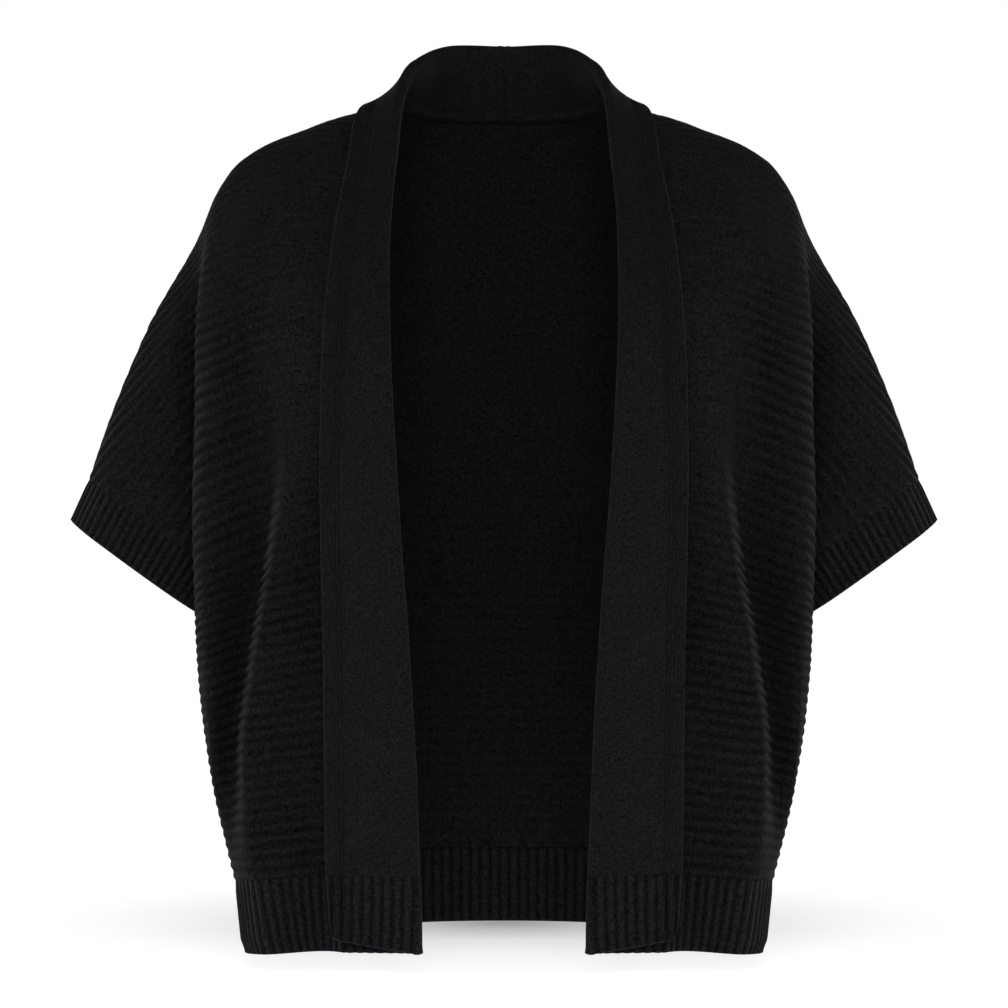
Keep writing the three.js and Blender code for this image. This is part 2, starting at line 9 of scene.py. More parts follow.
import bmesh
import bpy
import numpy as np
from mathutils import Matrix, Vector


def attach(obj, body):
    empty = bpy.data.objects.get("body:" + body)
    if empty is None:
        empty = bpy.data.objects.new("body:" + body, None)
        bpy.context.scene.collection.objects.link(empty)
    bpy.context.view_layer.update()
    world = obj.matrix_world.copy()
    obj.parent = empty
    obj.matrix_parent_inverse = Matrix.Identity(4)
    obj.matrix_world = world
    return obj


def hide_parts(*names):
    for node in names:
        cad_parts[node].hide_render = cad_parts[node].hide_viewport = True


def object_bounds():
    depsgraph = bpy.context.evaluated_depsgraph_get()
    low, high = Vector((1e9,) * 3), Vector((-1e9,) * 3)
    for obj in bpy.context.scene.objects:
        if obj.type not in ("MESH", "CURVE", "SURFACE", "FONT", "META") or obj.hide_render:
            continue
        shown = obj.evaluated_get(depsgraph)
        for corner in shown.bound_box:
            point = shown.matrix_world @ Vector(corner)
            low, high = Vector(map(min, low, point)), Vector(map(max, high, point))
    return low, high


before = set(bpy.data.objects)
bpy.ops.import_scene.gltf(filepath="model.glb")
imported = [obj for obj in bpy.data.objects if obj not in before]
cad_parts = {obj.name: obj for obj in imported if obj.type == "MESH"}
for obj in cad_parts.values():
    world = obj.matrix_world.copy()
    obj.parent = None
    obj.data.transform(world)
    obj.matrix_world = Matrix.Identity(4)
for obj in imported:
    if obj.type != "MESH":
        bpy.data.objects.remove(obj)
CAD_LOW, CAD_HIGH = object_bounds()

bl_info = {
    "name": "Open-Front Cardigan",
    "version": (1, 0, 0),
    "blender": (4, 5, 0),
    "location": "3D View > Sidebar > Cardigan",
    "description": "Knitted cloth of an open-front cardigan with a turned-out band",
    "category": "Add Mesh",
}

# ---- form of the cloth, as in the solids ----
# The wearer's left half. Each line runs up the cloth, with one point a level from the seam of the
# hem rib to the shoulder seam: (out from the middle, depth, height).
FRONT_LINES = {
    "edge": [(116, -112, -565), (116, -114, -478), (116, -116, -398), (116, -118, -325),
        (116, -119, -250), (115, -112, -170), (113, -78, -95), (107, -40, -42), (92, 19, 3)],
    "chest": [(126, -102, -566), (126, -103, -479), (126, -105, -400), (127, -109, -327),
        (127, -116, -252), (129, -112, -172), (139, -84, -98), (135, -47, -45), (121, 10, -6)],
    "crest": [(177, -105, -570), (187, -99, -481), (176.5, -107, -405), (163, -113, -334),
        (152, -115, -258), (156, -109, -178), (163, -86, -107), (161, -49, -54), (151, 6, -17)],
    "recess": [(192, -80, -573), (201, -60, -484), (191, -64, -409), (178.5, -73, -341),
        (172, -90, -268), (180, -96, -190), (186, -82, -122), (183, -45, -67), (180, 3, -28.7)],
    "flank": [(197.5, -52, -575), (212, -65, -486), (214, -80, -414), (215, -92, -350),
        (213, -99, -288), (208, -98, -211), (205, -75, -138), (202, -39, -82), (200, 1, -42.5)],
    "drape": [(199, -27, -576), (217.5, -44, -487), (225, -56, -418), (227, -64, -358),
        (228, -70, -302), (226.5, -67, -230), (226.5, -52, -158), (221, -30, -102), (214.5, 0, -63)],
    "valley": [(199.5, -15, -577), (218, -22, -488), (222, -28, -420), (216, -32, -360),
        (214, -34, -312), (219, -37, -244), (224, -33, -170), (226, -25, -115), (228, 0, -95)],
    "sleeve": [(200, -8, -577), (213, -8, -488), (213, -10, -421), (207, -12, -363), (222, -34, -330),
        (235, -41, -285), (247, -39, -220), (254, -27, -180), (263, 0, -158)],
    "end": [(200, 0, -577), (210, 0, -488), (207, 0, -421), (205.5, 0, -354), (221.3, -27, -342.6),
        (247.5, -37, -323.6), (274.8, -36, -303.8), (297, -25, -288), (310.5, 0, -278)],
}

BACK_LINES = {
    "centre": [(0, 113, -565), (0, 115, -478), (0, 116, -398), (0, 116, -325), (0, 115, -250),
        (0, 112, -170), (0, 100, -95), (0, 85, -40), (0, 72, -4)],
    "blade": [(60, 111, -565), (60, 113, -478), (60, 115, -398), (58, 115, -326), (57, 114, -251),
        (56, 112, -171), (56, 101, -96), (54, 83, -40), (52, 62, -3)],
    "edge": [(114, 103, -566), (116, 106, -479), (114, 110, -400), (112, 111, -328), (111, 110, -254),
        (110, 108, -174), (107, 95, -99), (100, 63, -41), (92, 19, 3)],
    "chest": [(150, 88, -568), (153, 94, -480), (150, 101, -403), (146, 103, -332), (143, 104, -259),
        (141, 102, -179), (137, 89, -104), (131, 55, -46), (121, 10, -6)],
    "crest": [(178, 64, -571), (186, 76, -482), (179, 90, -408), (171, 96, -339), (168, 97, -267),
        (165, 95, -188), (162, 82, -113), (158, 50, -57), (151, 6, -17)],
    "recess": [(188, 48, -573), (198, 60, -484), (198, 72, -412), (193, 80, -346), (190, 85, -279),
        (188, 86, -200), (185, 74, -126), (182, 43, -70), (180, 3, -28.7)],
    "flank": [(195, 34, -575), (209, 49, -486), (212, 62, -416), (210, 70, -352), (208, 74, -291),
        (207, 76, -214), (204, 65, -141), (201, 36, -84), (200, 1, -42.5)],
    "drape": [(198.5, 20, -576), (216, 33, -487), (223, 42, -419), (223.5, 47, -358), (224, 51, -304),
        (223, 54, -231), (223, 49, -160), (220, 29, -103), (214.5, 0, -63)],
    "valley": [(199.5, 12, -577), (216, 18, -488), (220, 23, -421), (215, 27, -360), (214, 31, -314),
        (219, 36, -245), (225, 36, -172), (226, 26, -116), (228, 0, -95)],
    "sleeve": [(200, 6, -577), (212.5, 8, -488), (212.5, 10, -421), (207, 12, -363), (222, 33, -330),
        (235, 40, -285), (247, 39, -220), (254, 27, -180), (263, 0, -158)],
    "end": [(200, 0, -577), (210, 0, -488), (207, 0, -421), (205.5, 0, -354), (221.3, 27, -342.6),
        (247.5, 37, -323.6), (274.8, 36, -303.8), (297, 25, -288), (310.5, 0, -278)],
}

# Each entry is a station of the band, from its foot up to the middle of the back neck: its fold, its
# free edge, and how far the cloth bows in beside the fold.
BAND_STATIONS = [
    dict(fold=[59.5, -120, -620], free=[124.7, -113.5, -620], sag=0),
    dict(fold=[60.5, -120, -565], free=[127.7, -113.5, -565], sag=0),
    dict(fold=[63.5, -121.5, -478], free=[128.7, -116, -478], sag=0),
    dict(fold=[68, -123, -398], free=[129.7, -118.5, -398], sag=0),
    dict(fold=[73.5, -124.5, -325], free=[131.2, -120, -326], sag=0),
    dict(fold=[78.5, -125, -250], free=[131.7, -122, -251], sag=0),
    dict(fold=[82, -117, -170], free=[129.7, -117, -172], sag=0),
    dict(fold=[82.5, -82, -95], free=[123.2, -88, -99], sag=0),
    dict(fold=[79, -45, -42], free=[115.7, -52, -50], sag=1),
    dict(fold=[66, 12, 34], free=[103.2, 17, 2.5], sag=5),
    dict(fold=[44, 47, 51.5], free=[57, 74, -15], sag=3),
    dict(fold=[0, 61, 53], free=[0, 83, -16], sag=2),
]

SIDES = {1: "left", -1: "right"}  # of the wearer, the left being worked out
UNDERARM = 3  # level of the underarm point
EDGE_IN_BACK = 2  # the back's line that meets the front's first
EDGE_TO_DRAPE = 5  # lines from the one to the other
HEM_BOTTOM = -620.0
HEM_HEIGHT = 55.0
SIDE_DROP = 13.0  # how much lower the hem hangs at the side
HEM_TAPER = 0.965  # the rib draws the hem in at the side
HEM_CURL = 0.016  # how far the lower edge turns in at the side
RIB_LEAN = 8.0  # how far the ribs of the front hems swing to the centre
ARM_AXIS = np.array([0.586, 0.0, -0.81])
CUFF_INNER = np.array([205.5, 0.0, -354.0])  # the underarm corner at the cuff's seam
CUFF_OUTER = np.array([224.6, 0.0, -380.5])  # the same corner at the cuff's edge
CUFF_HEIGHT = 33.0
CUFF_TAPER = 0.948  # the rib draws the cuff's edge in
CUFF_RIBS = 0.88  # size of the cuffs' ribs beside those of the hem
SEAM_GAP = 0.3  # between two panels at a seam
SEAM_LAP = 0.9  # how far a rib comes up over the groove of its seam
# How far the middle of the wall bulges at a ribbed edge, at a seam and at the band's free edge
EDGE_BULGE, SEAM_BULGE, FREE_BULGE = 1.2, 0.5, 0.9
BAND_WALL = 2.8  # thickness of the band
BORDER_RIBS = 6  # ribs along the free edge of the band
BORDER_PITCH = 2.6
FOLD_RADIUS = 1.7  # of the band's turned edge, inside
LAPEL_RISE = 10.0  # how much higher the free lower corner of the band ends
CORNER_RADIUS = 6.0  # of that corner
SHOULDER_STATION = 9  # the band's station at the shoulder seam
LAST_STATION = 11  # its station at the middle of the back neck

# Rows of the knit, counted as a height at the front edge: where the hem rib starts, and the rows
# that end at the underarm, at the outer corner of the cuff and in the middle of the back neck.
HEM_COURSE = -565.0
UNDERARM_COURSE = -290.0
CUFF_COURSE = -150.0
BACK_NECK_COURSE = 10.0

# Where the knit hangs free and its ridges stand out: far enough from the middle and below the
# shoulders, and anywhere low down. Each grows from the first number to the second.
HANGING_OUT, HANGING_DOWN, HANGING_LOW = (155, 190), (100, 180), (250, 360)
SMOOTH_SHARE = 0.25  # of the ridges' height, left where the cloth lies over shoulder and chest

UP = 32  # fine steps between two levels
ACROSS = 24  # fine steps between two lines
RIDGE_STEPS = 8  # rows of the net in one row of the knit
FRONT_COLUMNS = 100
HALF_BACK_COLUMNS = 72
BAND_ROWS = 336
RIB_STEPS = 12  # columns of the net in one rib
BORDER_STEPS = 7  # and in one rib of the band's border
RIB_SHARP, BORDER_SHARP = 0.8, 0.6  # below 1 for a round rib with a narrow furrow


# ---- curves ----
def smooth_curve(points, steps, before=None, after=None):
    """Points of a smooth curve through points, each of which may be a whole row of points. before
    and after are the points it would meet next beyond its ends, where it has any."""
    p = np.asarray(points, float)
    ends = [end[None] for end in (before, after) if end is not None]
    start = 0 if before is None else 1
    known = np.concatenate(ends[:start] + [p] + ends[start:])
    gaps = known[1:] - known[:-1]
    spans = np.linalg.norm(gaps, axis=-1, keepdims=True)
    straight = gaps / spans
    share = spans[:-1] / (spans[:-1] + spans[1:])
    slope = straight[1:] * share + straight[:-1] * (1 - share)
    if before is None:
        slope = np.concatenate([2 * straight[:1] - slope[:1], slope])
    if after is None:
        slope = np.concatenate([slope, 2 * straight[-1:] - slope[-1:]])
    spans = spans[start:][: len(p) - 1]
    t = (np.arange(steps) / steps).reshape((1, steps) + (1,) * (p.ndim - 1))
    a, b = p[:-1, None], p[1:, None]
    ma, mb, s = slope[:-1, None] * spans[:, None], slope[1:, None] * spans[:, None], t * t
    c = s * t
    curve = a * (2 * c - 3 * s + 1) + ma * (c - 2 * s + t) + b * (3 * s - 2 * c) + mb * (c - s)
    return np.concatenate([curve.reshape((-1,) + p.shape[1:]), p[-1:]])


def reach(points, axis=0):
    """Length along rows of points, from the first one."""
    steps = np.linalg.norm(np.diff(points, axis=axis), axis=-1)
    start = np.zeros_like(np.take(steps, [0], axis=axis))
    return np.cumsum(np.concatenate([start, steps], axis=axis), axis=axis)


def at_places(line, places, along):
    """Points of a line where along has the values places."""
    return np.stack([np.interp(places, along, line[..., k]) for k in range(line.shape[-1])], axis=-1)


def unit(v):
    return v / np.maximum(np.linalg.norm(v, axis=-1, keepdims=True), 1e-9)


def ease(x):
    """Soft step from 0 to 1."""
    x = np.clip(x, 0, 1)
    return x * x * (3 - 2 * x)


def grown(x, limits):
    """Soft step from 0 at the first limit to 1 at the second."""
    low, high = limits
    return ease((x - low) / (high - low))


def wander(a, b, seed):
    """Soft uneven value between about -1 and 1, for hand-made irregularity."""
    slow = np.sin(a * 1.0 + b * 0.37 + seed)
    across = 0.6 * np.sin(a * 2.3 - b * 0.81 + seed * 2.1)
    return (slow + across + 0.4 * np.sin(b * 1.9 + a * 0.53 + seed * 3.7)) / 2.0


def ridge(phase, sharp=0.75):
    """Rounded ridge with a narrow furrow, 1 on whole numbers and 0 halfway."""
    return (0.5 + 0.5 * np.cos(2 * np.pi * phase)) ** sharp


def line_up(panel, other, name):
    """A fine line up a panel, smooth across the shoulder seam, where the other panel goes on. The
    end line is smooth all round the cuff, so it meets the other panel's at the underarm too."""
    points = np.array(panel[name], float)
    joins = name not in ("centre", "blade", "edge")
    over = np.array(other[name][-2], float) if joins else None
    if name != "end":
        return smooth_curve(points, UP, None, over)
    below = smooth_curve(points[: UNDERARM + 1], UP)
    turn = np.array(other[name][UNDERARM + 1], float)
    above = smooth_curve(points[UNDERARM:], UP, turn, over)
    return np.concatenate([below, above[1:]])


def panel_form(panel, other):
    """The outer face of a panel as a fine net, [line, level, 3]."""
    lines = np.array([line_up(panel, other, name) for name in panel])
    beyond = line_up(other, panel, "sleeve")
    body = smooth_curve(lines[:, :-1], ACROSS, None, beyond[:-1])
    top = smooth_curve(lines[:, -1:], ACROSS)
    return np.concatenate([body, top], axis=1)


FRONT = panel_form(FRONT_LINES, BACK_LINES)
BACK = panel_form(BACK_LINES, FRONT_LINES)
BACK[EDGE_IN_BACK * ACROSS:, -1] = FRONT[:, -1]


# ---- rows of the body knit ----
def course_field(form, first, top_course):
    """The row, as a height in mm, at each point of a panel's net. The rows run level over the body
    and turn down the sleeve. first is the line where they start to turn, top_course the row that
    ends at the top of the first line, or None where they are as high as the cloth is long."""
    rise = reach(form[0])
    if top_course is None:
        start = HEM_COURSE + rise
    else:
        start = HEM_COURSE + rise * (top_course - HEM_COURSE) / rise[-1]
    side = reach(form[-1])
    corner = UNDERARM * UP
    end = np.interp(side, [0, side[corner], side[-1]], [HEM_COURSE, UNDERARM_COURSE, CUFF_COURSE])
    out = reach(form)
    edge, drape = first * ACROSS, (first + EDGE_TO_DRAPE) * ACROSS
    share = np.clip((out - out[edge]) / (out[-1] - out[edge]), 0, 1)
    ramp = np.clip((out - out[drape]) / (out[-1] - out[drape]), 0, 1)
    weight = 0.8 * share + 0.2 * ramp ** 0.8
    field = start * (1 - weight) + end * weight
    return np.maximum.accumulate(field, axis=1)


def along_rows(form, field, courses, columns):
    """Points of a panel laid out along its knit rows, with the length along each row."""
    levels = np.arange(field.shape[1])
    points = np.empty((field.shape[0], len(courses), 3))
    for i, column in enumerate(field):
        place = np.interp(courses, column, levels)
        points[i] = at_places(form[i], place, levels)
    lines = np.arange(field.shape[0])
    leaves = np.interp(courses, field[::-1, -1], lines[::-1])
    net = np.empty((len(courses), columns + 1, 3))
    length = np.empty((len(courses), columns + 1))
    share = np.linspace(0, 1, columns + 1)
    for j, leave in enumerate(leaves):
        whole = int(math.floor(leave + 1e-6))
        row = points[: whole + 1, j]
        if leave - whole > 1e-4:
            corner = at_places(form[:, -1], np.array([leave]), lines)
            row = np.concatenate([row, corner])
        out = reach(row)
        net[j] = at_places(row, share * out[-1], out)
        length[j] = share * out[-1]
    return net, length


def normals_of(net, row, column, way):
    """Unit normals of a net, on the side where the one at row, column points to the back of the
    garment, or to its front where way is negative."""
    n = unit(np.cross(np.gradient(net, axis=1), np.gradient(net, axis=0)))
    return n if n[row, column, 1] * way > 0 else -n


# ---- closed shells ----
def mirrored(net):
    return net * np.array([-1.0, 1.0, 1.0])


def shell(name, side, outer, middle, inner, print_outer, print_inner, ring=False):
    """A closed shell between two nets worked out for the wearer's left side, mirrored where it is
    for the right. middle is a net whose rim lies halfway through the wall, in step with outer;
    inner may be coarser, by whole steps. The two prints are the knit coordinates. The last column
    of a ring lies on its first."""
    if side < 0:
        outer, middle, inner = mirrored(outer), mirrored(middle), mirrored(inner)
    rows, columns = outer.shape[:2]
    inner_rows, inner_columns = inner.shape[:2]
    row_step = (rows - 1) // (inner_rows - 1)
    column_step = (columns - 1) // (inner_columns - 1)
    top = np.arange(rows * columns).reshape(rows, columns)
    under = rows * columns + np.arange(inner_rows * inner_columns).reshape(inner_rows, inner_columns)

    def quads(index):
        a, b, c, d = index[:-1, :-1], index[:-1, 1:], index[1:, 1:], index[1:, :-1]
        return np.stack([a, b, c, d], axis=-1).reshape(-1, 4)

    faces = quads(top).tolist() + quads(under)[:, ::-1].tolist()
    outer_faces = (rows - 1) * (columns - 1)
    both_faces = len(faces)
    steps = [column_step] * (inner_columns - 1)
    nets = top, under, middle
    if ring:
        loops = [[net[0] for net in nets], [net[-1, ::-1] for net in nets]]
    else:
        sides = [(net[0, :-1], net[:-1, -1], net[-1, :0:-1], net[:0:-1, 0]) for net in nets]
        loops = [[np.concatenate(four) for four in sides]]
        steps = (steps + [row_step] * (inner_rows - 1)) * 2
    points = [outer.reshape(-1, 3), inner.reshape(-1, 3)]
    prints = [print_outer.reshape(-1, 2), print_inner.reshape(-1, 2)]
    count = rows * columns + inner_rows * inner_columns
    for fine, coarse, rim in loops:
        n, m = len(fine), len(coarse)
        points.append(rim)
        prints.append(prints[0][fine])
        between = (count + np.arange(n)).tolist()
        fine, coarse = fine.tolist(), coarse.tolist()
        count += n
        for k in range(n - 1 if ring else n):
            after = (k + 1) % n
            faces.append([fine[after], fine[k], between[k], between[after]])
        place = 0
        for j, step in enumerate(steps):
            span = [between[(place + i) % n] for i in range(step, -1, -1)]
            faces.append(span + [coarse[j], coarse[(j + 1) % m]])
            place += step
    points = np.concatenate(points) * 0.001
    prints = np.concatenate(prints)
    mesh = bpy.data.meshes.new(name)
    mesh.from_pydata(points.tolist(), [], faces)
    # The inner faces take the second material, darkened by painted shade.
    for face in mesh.polygons[outer_faces:both_faces]:
        face.material_index = 1
    layer = mesh.uv_layers.new(name="knit")
    corner = np.empty(len(mesh.loops), np.int32)
    mesh.loops.foreach_get("vertex_index", corner)
    layer.data.foreach_set("uv", prints[corner].astype(np.float32).ravel())
    work = bmesh.new()
    work.from_mesh(mesh)
    bmesh.ops.remove_doubles(work, verts=work.verts, dist=2e-6)
    bmesh.ops.recalc_face_normals(work, faces=work.faces)
    work.to_mesh(mesh)
    work.free()
    mesh.polygons.foreach_set("use_smooth", [True] * len(mesh.polygons))
    mesh.update()
    piece = bpy.data.objects.new(name, mesh)
    bpy.context.scene.collection.objects.link(piece)
    return piece


def finish_piece(piece, node, materials):
    """Gives a piece the materials of its two sides, hangs it from the root and hides the solid that it
    stands for.
    """
    for material in materials:
        piece.data.materials.append(material)
    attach(piece, "root")
    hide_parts(node)
    return piece


# ---- pieces ----
def mm(size):
    """A setting in millimetres."""
    return size * 1000


def swell(x, place, spread):
    """Soft rise to 1 at a place."""
    return np.exp(-(((x - place) / spread) ** 2))


def with_mirror(half):
    """Rows that start at the middle, with their mirror image before them."""
    return np.concatenate([mirrored(half[:, :0:-1]), half], axis=1)


def body_rows(form, first, top_course, columns, sizes):
    """Net, knit lengths and rows of one panel of body knit."""
    field = course_field(form, first, top_course)
    highest = field[0, -1] - SEAM_GAP
    count = RIDGE_STEPS * int(round((highest - HEM_COURSE) / mm(sizes.course)))
    courses = np.linspace(HEM_COURSE, highest, count + 1)
    net, length = along_rows(form, field, courses, columns)
    return net, length, courses


def knit_relief(net, courses, length, pitch, height, seed):
    """Height of the ridges over a net, uneven along each row and stretched flat over shoulders and
    chest, and the knit rows themselves."""
    row = courses[:, None] / pitch
    row = row + 0.07 * wander(length / 23, courses[:, None] / 31, seed)
    strength = 1 + 0.3 * wander(length / 17, courses[:, None] / 9, seed + 2)
    out, down = np.abs(net[..., 0]), -net[..., 2]
    hanging = np.maximum(grown(out, HANGING_OUT) * grown(down, HANGING_DOWN), grown(down, HANGING_LOW))
    hanging = SMOOTH_SHARE + (1 - SMOOTH_SHARE) * hanging
    lumps = np.random.default_rng(int(seed * 10)).normal(0, 1, (courses.size + 2, length.shape[1] + 2))
    lumps = (lumps[:-2] + 2 * lumps[1:-1] + lumps[2:]) / 3
    lumps = (lumps[:, :-2] + 2 * lumps[:, 1:-1] + lumps[:, 2:]) / 3
    relief = ridge(row, 1.0) * strength * hanging + 0.1 * lumps
    return relief * height, row


def panel_normals(net, courses, way):
    """Normals of a panel, square to its hem seam and to its cuff seam."""
    n = normals_of(net, len(courses) // 3, 10, way)
    n[0, :, 2] = 0
    cuff = (courses > UNDERARM_COURSE) & (courses < CUFF_COURSE)
    last = n[cuff, -1]
    n[cuff, -1] = last - (last @ ARM_AXIS)[:, None] * ARM_AXIS
    return unit(n)


def seam_fade(shape, rows=3, columns=1):
    """1 over the cloth and less at its rims, where a seam pulls the relief flat."""
    r = np.arange(shape[0])[:, None]
    c = np.arange(shape[1])[None, :]
    near = np.minimum(np.minimum(r, shape[0] - 1 - r) / rows, np.minimum(c, shape[1] - 1 - c) / columns)
    return 0.45 + 0.55 * ease(near)


def rim_out(net):
    """Directions out of a net along its rim, and none inside it."""
    out = np.zeros_like(net)
    out[0] += unit(net[0] - net[1])
    out[-1] += unit(net[-1] - net[-2])
    out[:, 0] += unit(net[:, 0] - net[:, 1])
    out[:, -1] += unit(net[:, -1] - net[:, -2])
    return out


def ridged_panel(name, side, laid, n, seed, hollow, thin, sizes, materials):
    """A panel of body knit. laid is what body_rows gave, hollow tells how strongly the ridges show
    as furrows inside, and thin is the step between the rows of the inner net."""
    net, length, courses = laid
    height = mm(sizes.ridge)
    relief, row = knit_relief(net, courses, length, mm(sizes.course), height, seed)
    relief = relief * seam_fade(relief.shape)
    outer = net + n * relief[..., None]
    inner = net - n * (mm(sizes.wall) - (height - relief) * hollow)[..., None]
    middle = (outer + inner) / 2 + rim_out(net) * SEAM_BULGE
    knit = np.stack([length / mm(sizes.stitch), row], axis=-1)
    inside_knit = (knit + [0.0, 0.5])[::thin, ::2]
    piece = shell("ridged_" + name, side, outer, middle, inner[::thin, ::2], knit, inside_knit)
    return finish_piece(piece, name, materials)


def make_front(side, sizes, materials):
    """A front with its half of the sleeve."""
    laid = body_rows(FRONT, 0, None, FRONT_COLUMNS, sizes)
    n = panel_normals(laid[0], laid[2], -1)
    seed = 1.3 if side > 0 else 2.9
    return ridged_panel("front_" + SIDES[side], side, laid, n, seed, 0.8, 4, sizes, materials)


def make_back(sizes, materials):
    """The back with its halves of both sleeves."""
    net, length, courses = body_rows(BACK, EDGE_IN_BACK, BACK_NECK_COURSE, HALF_BACK_COLUMNS, sizes)
    n = panel_normals(net, courses, 1)
    n[:, 0, 0] = 0
    laid = with_mirror(net), np.concatenate([-length[:, :0:-1], length], axis=1), courses
    return ridged_panel("back", 1, laid, with_mirror(unit(n)), 4.1, 1.0, 2, sizes, materials)


def band_lines():
    """The band's seam, fold and free edge, each with the stations of its points: 0 at the foot, 9
    at the shoulder seam, 11 at the middle of the back neck."""
    seam_up = FRONT[0]
    seam_round = BACK[: EDGE_IN_BACK * ACROSS + 1, -1][::-1]
    levels = np.arange(len(seam_up)) / UP + 1
    neck = SHOULDER_STATION + np.arange(len(seam_round)) / ACROSS
    foot = seam_up[0] * [1, 1, 0] + [0, 0, HEM_BOTTOM]
    seam_place = np.concatenate([[0.0], levels, neck[1:]])
    lines = {"seam": (seam_place, np.concatenate([[foot], seam_up, seam_round[1:]]))}
    for name in ("fold", "free"):
        points = np.array([station[name] for station in BAND_STATIONS], float)
        curve = smooth_curve(points, UP, None, points[-2] * [-1, 1, 1])
        curve[: UP + 1] = points[0] + (points[1] - points[0]) * np.linspace(0, 1, UP + 1)[:, None]
        lines[name] = (np.arange(len(curve)) / UP, curve)
    return lines


BAND_LINES = band_lines()


def band_line(name, stations):
    """Points of one line of the band."""
    place, line = BAND_LINES[name]
    return at_places(line, stations, place)


def fall_cuts(stations, plain_steps):
    """Cuts of the fall from the fold to its free edge, fine over the ribs of its border, one row a
    station."""
    width = np.linalg.norm(band_line("free", stations) - band_line("fold", stations), axis=-1)
    plain = 1 - BORDER_RIBS * BORDER_PITCH / width
    a = plain[:, None] * np.linspace(0, 1, plain_steps + 1)[:-1]
    b = plain[:, None] + (1 - plain)[:, None] * np.linspace(0, 1, BORDER_STEPS * BORDER_RIBS + 1)
    return np.concatenate([a, b], axis=1)


def band_net(stations, stand, fall, rise=0.0):
    """The band's under face: up the stand, round the fold and down the fall, one row a station.
    stand and fall are the cuts of these two, rise lifts the free edge."""
    seam, fold, free = (band_line(name, stations) for name in ("seam", "fold", "free"))
    sag = np.interp(stations, np.arange(len(BAND_STATIONS)), [s["sag"] for s in BAND_STATIONS])
    step = 1 / 3
    ahead = band_line("fold", np.minimum(stations + step, LAST_STATION))
    behind = band_line("fold", np.maximum(stations - step, 0))
    along = unit(ahead - behind)
    upright = (1 - ease((stations - 1) * 3))[:, None]
    along = unit(along * (1 - upright) + np.array([0, 0, 1.0]) * upright)
    across_neck = ease((stations - LAST_STATION + step) / step)[:, None]
    along = unit(along * (1 - across_neck) + np.array([-1.0, 0, 0]) * across_neck)
    across = seam - fold
    across = unit(across - along * (across * along).sum(-1, keepdims=True))
    outward = np.cross(across, along)
    centre = fold + across * (FOLD_RADIUS + BAND_WALL)
    stand_end = centre - outward * FOLD_RADIUS
    fall_start = centre + outward * FOLD_RADIUS
    columns = []
    for t in stand:
        bow = 4 * t * (1 - t) * sag[:, None]
        columns.append(seam * (1 - t) + stand_end * t - outward * bow)
    for angle in np.radians(np.linspace(0, 180, 11)[1:-1]):
        turned = centre - outward * FOLD_RADIUS * math.cos(angle)
        columns.append(turned - across * FOLD_RADIUS * math.sin(angle))
    for t in np.split(fall, fall.shape[1], axis=1):
        bow = 4 * t * (1 - t) * sag[:, None]
        lift = np.array([0, 0, 1.0]) * t * rise
        columns.append(fall_start * (1 - t) + free * t - outward * bow + lift)
    return np.stack(columns, axis=1)


def border_relief(from_free, sizes):
    """Furrows between the ribs along the free edge of the band."""
    return (ridge(from_free / BORDER_PITCH - 0.5, BORDER_SHARP) - 1) * mm(sizes.border)


def make_band(side, sizes, materials):
    """Half of the band, from its foot to the middle of the back neck."""
    marks = [1, SHOULDER_STATION, LAST_STATION]
    stations = np.interp(np.linspace(0, 1, BAND_ROWS + 1), [0, 0.8, 1], marks)
    stand = np.concatenate([np.linspace(0, 0.16, 8, endpoint=False), np.linspace(0.16, 1, 17)])
    net = band_net(stations, stand, fall_cuts(stations, 22))
    n = normals_of(net, BAND_ROWS // 4, -10, -1)
    n[0, :, 2] = 0
    n[-1, :, 0] = 0
    n = unit(n)
    length = reach(net, axis=1)
    from_free = length[:, -1:] - length
    run = reach(net[:, -1])[:, None]
    up = ease((stations - 8.4) / 0.8)[:, None]
    ribbed = BORDER_RIBS * BORDER_PITCH
    border = ease((ribbed + 0.3 - from_free) / 0.6) * (0.25 + 0.75 * ease(from_free / ribbed))
    # Ribs of the border and the groove beside them, the ridge by which the band is linked on and
    # the hollow beyond it, the softness of the cloth, and the seam in the middle of the back neck.
    ribs = border_relief(from_free, sizes) * border
    groove = swell(from_free, ribbed, 0.8) * 0.7
    linking = swell(length, 3.6, 2.2) * (0.7 + 1.3 * up)
    hollow = swell(length, 8.2, 1.6) * (0.2 + 0.5 * up)
    soft = 0.35 * wander(run / 41, length / 19, 0.7 + side) * ease(from_free / 8) * ease(length / 8)
    joining = 0.4 * swell(np.abs(net[..., 0]), 3.0, 1.6) * ease((stations - 10)[:, None])
    relief = ribs - groove + linking - hollow + soft + joining
    outer = net + n * BAND_WALL + n * relief[..., None]
    middle = (outer + net) / 2
    middle[:, -1] += unit(net[:, -1] - net[:, -2]) * FREE_BULGE
    loops = np.broadcast_to(run / mm(sizes.plain_course), length.shape)
    knit = np.stack([length / mm(sizes.plain_stitch), loops], axis=-1)
    name = "band_" + SIDES[side]
    piece = shell("turned_" + name, side, outer, middle, net[::4, ::2], knit, knit[::4, ::2])
    return finish_piece(piece, name, materials)


def rib_relief(phase, height, *fades):
    """Height of the ribs over a cloth."""
    relief = ridge(phase, RIB_SHARP) * height
    for fade in fades:
        relief = relief * fade
    return relief


def scallops(phase):
    """Waves of an edge, whose ribs reach a little further than its furrows."""
    return ridge(phase) - 0.5


def rib_start(down):
    """The ribs rise from the seam that they hang from."""
    return 0.3 + 0.7 * ease(down)


def rib_knit(phase, down, height, sizes):
    """Knit coordinates of ribbing: ribs across, stitches down."""
    return np.stack(np.broadcast_arrays(phase, down * height / mm(sizes.rib_course)), axis=-1)


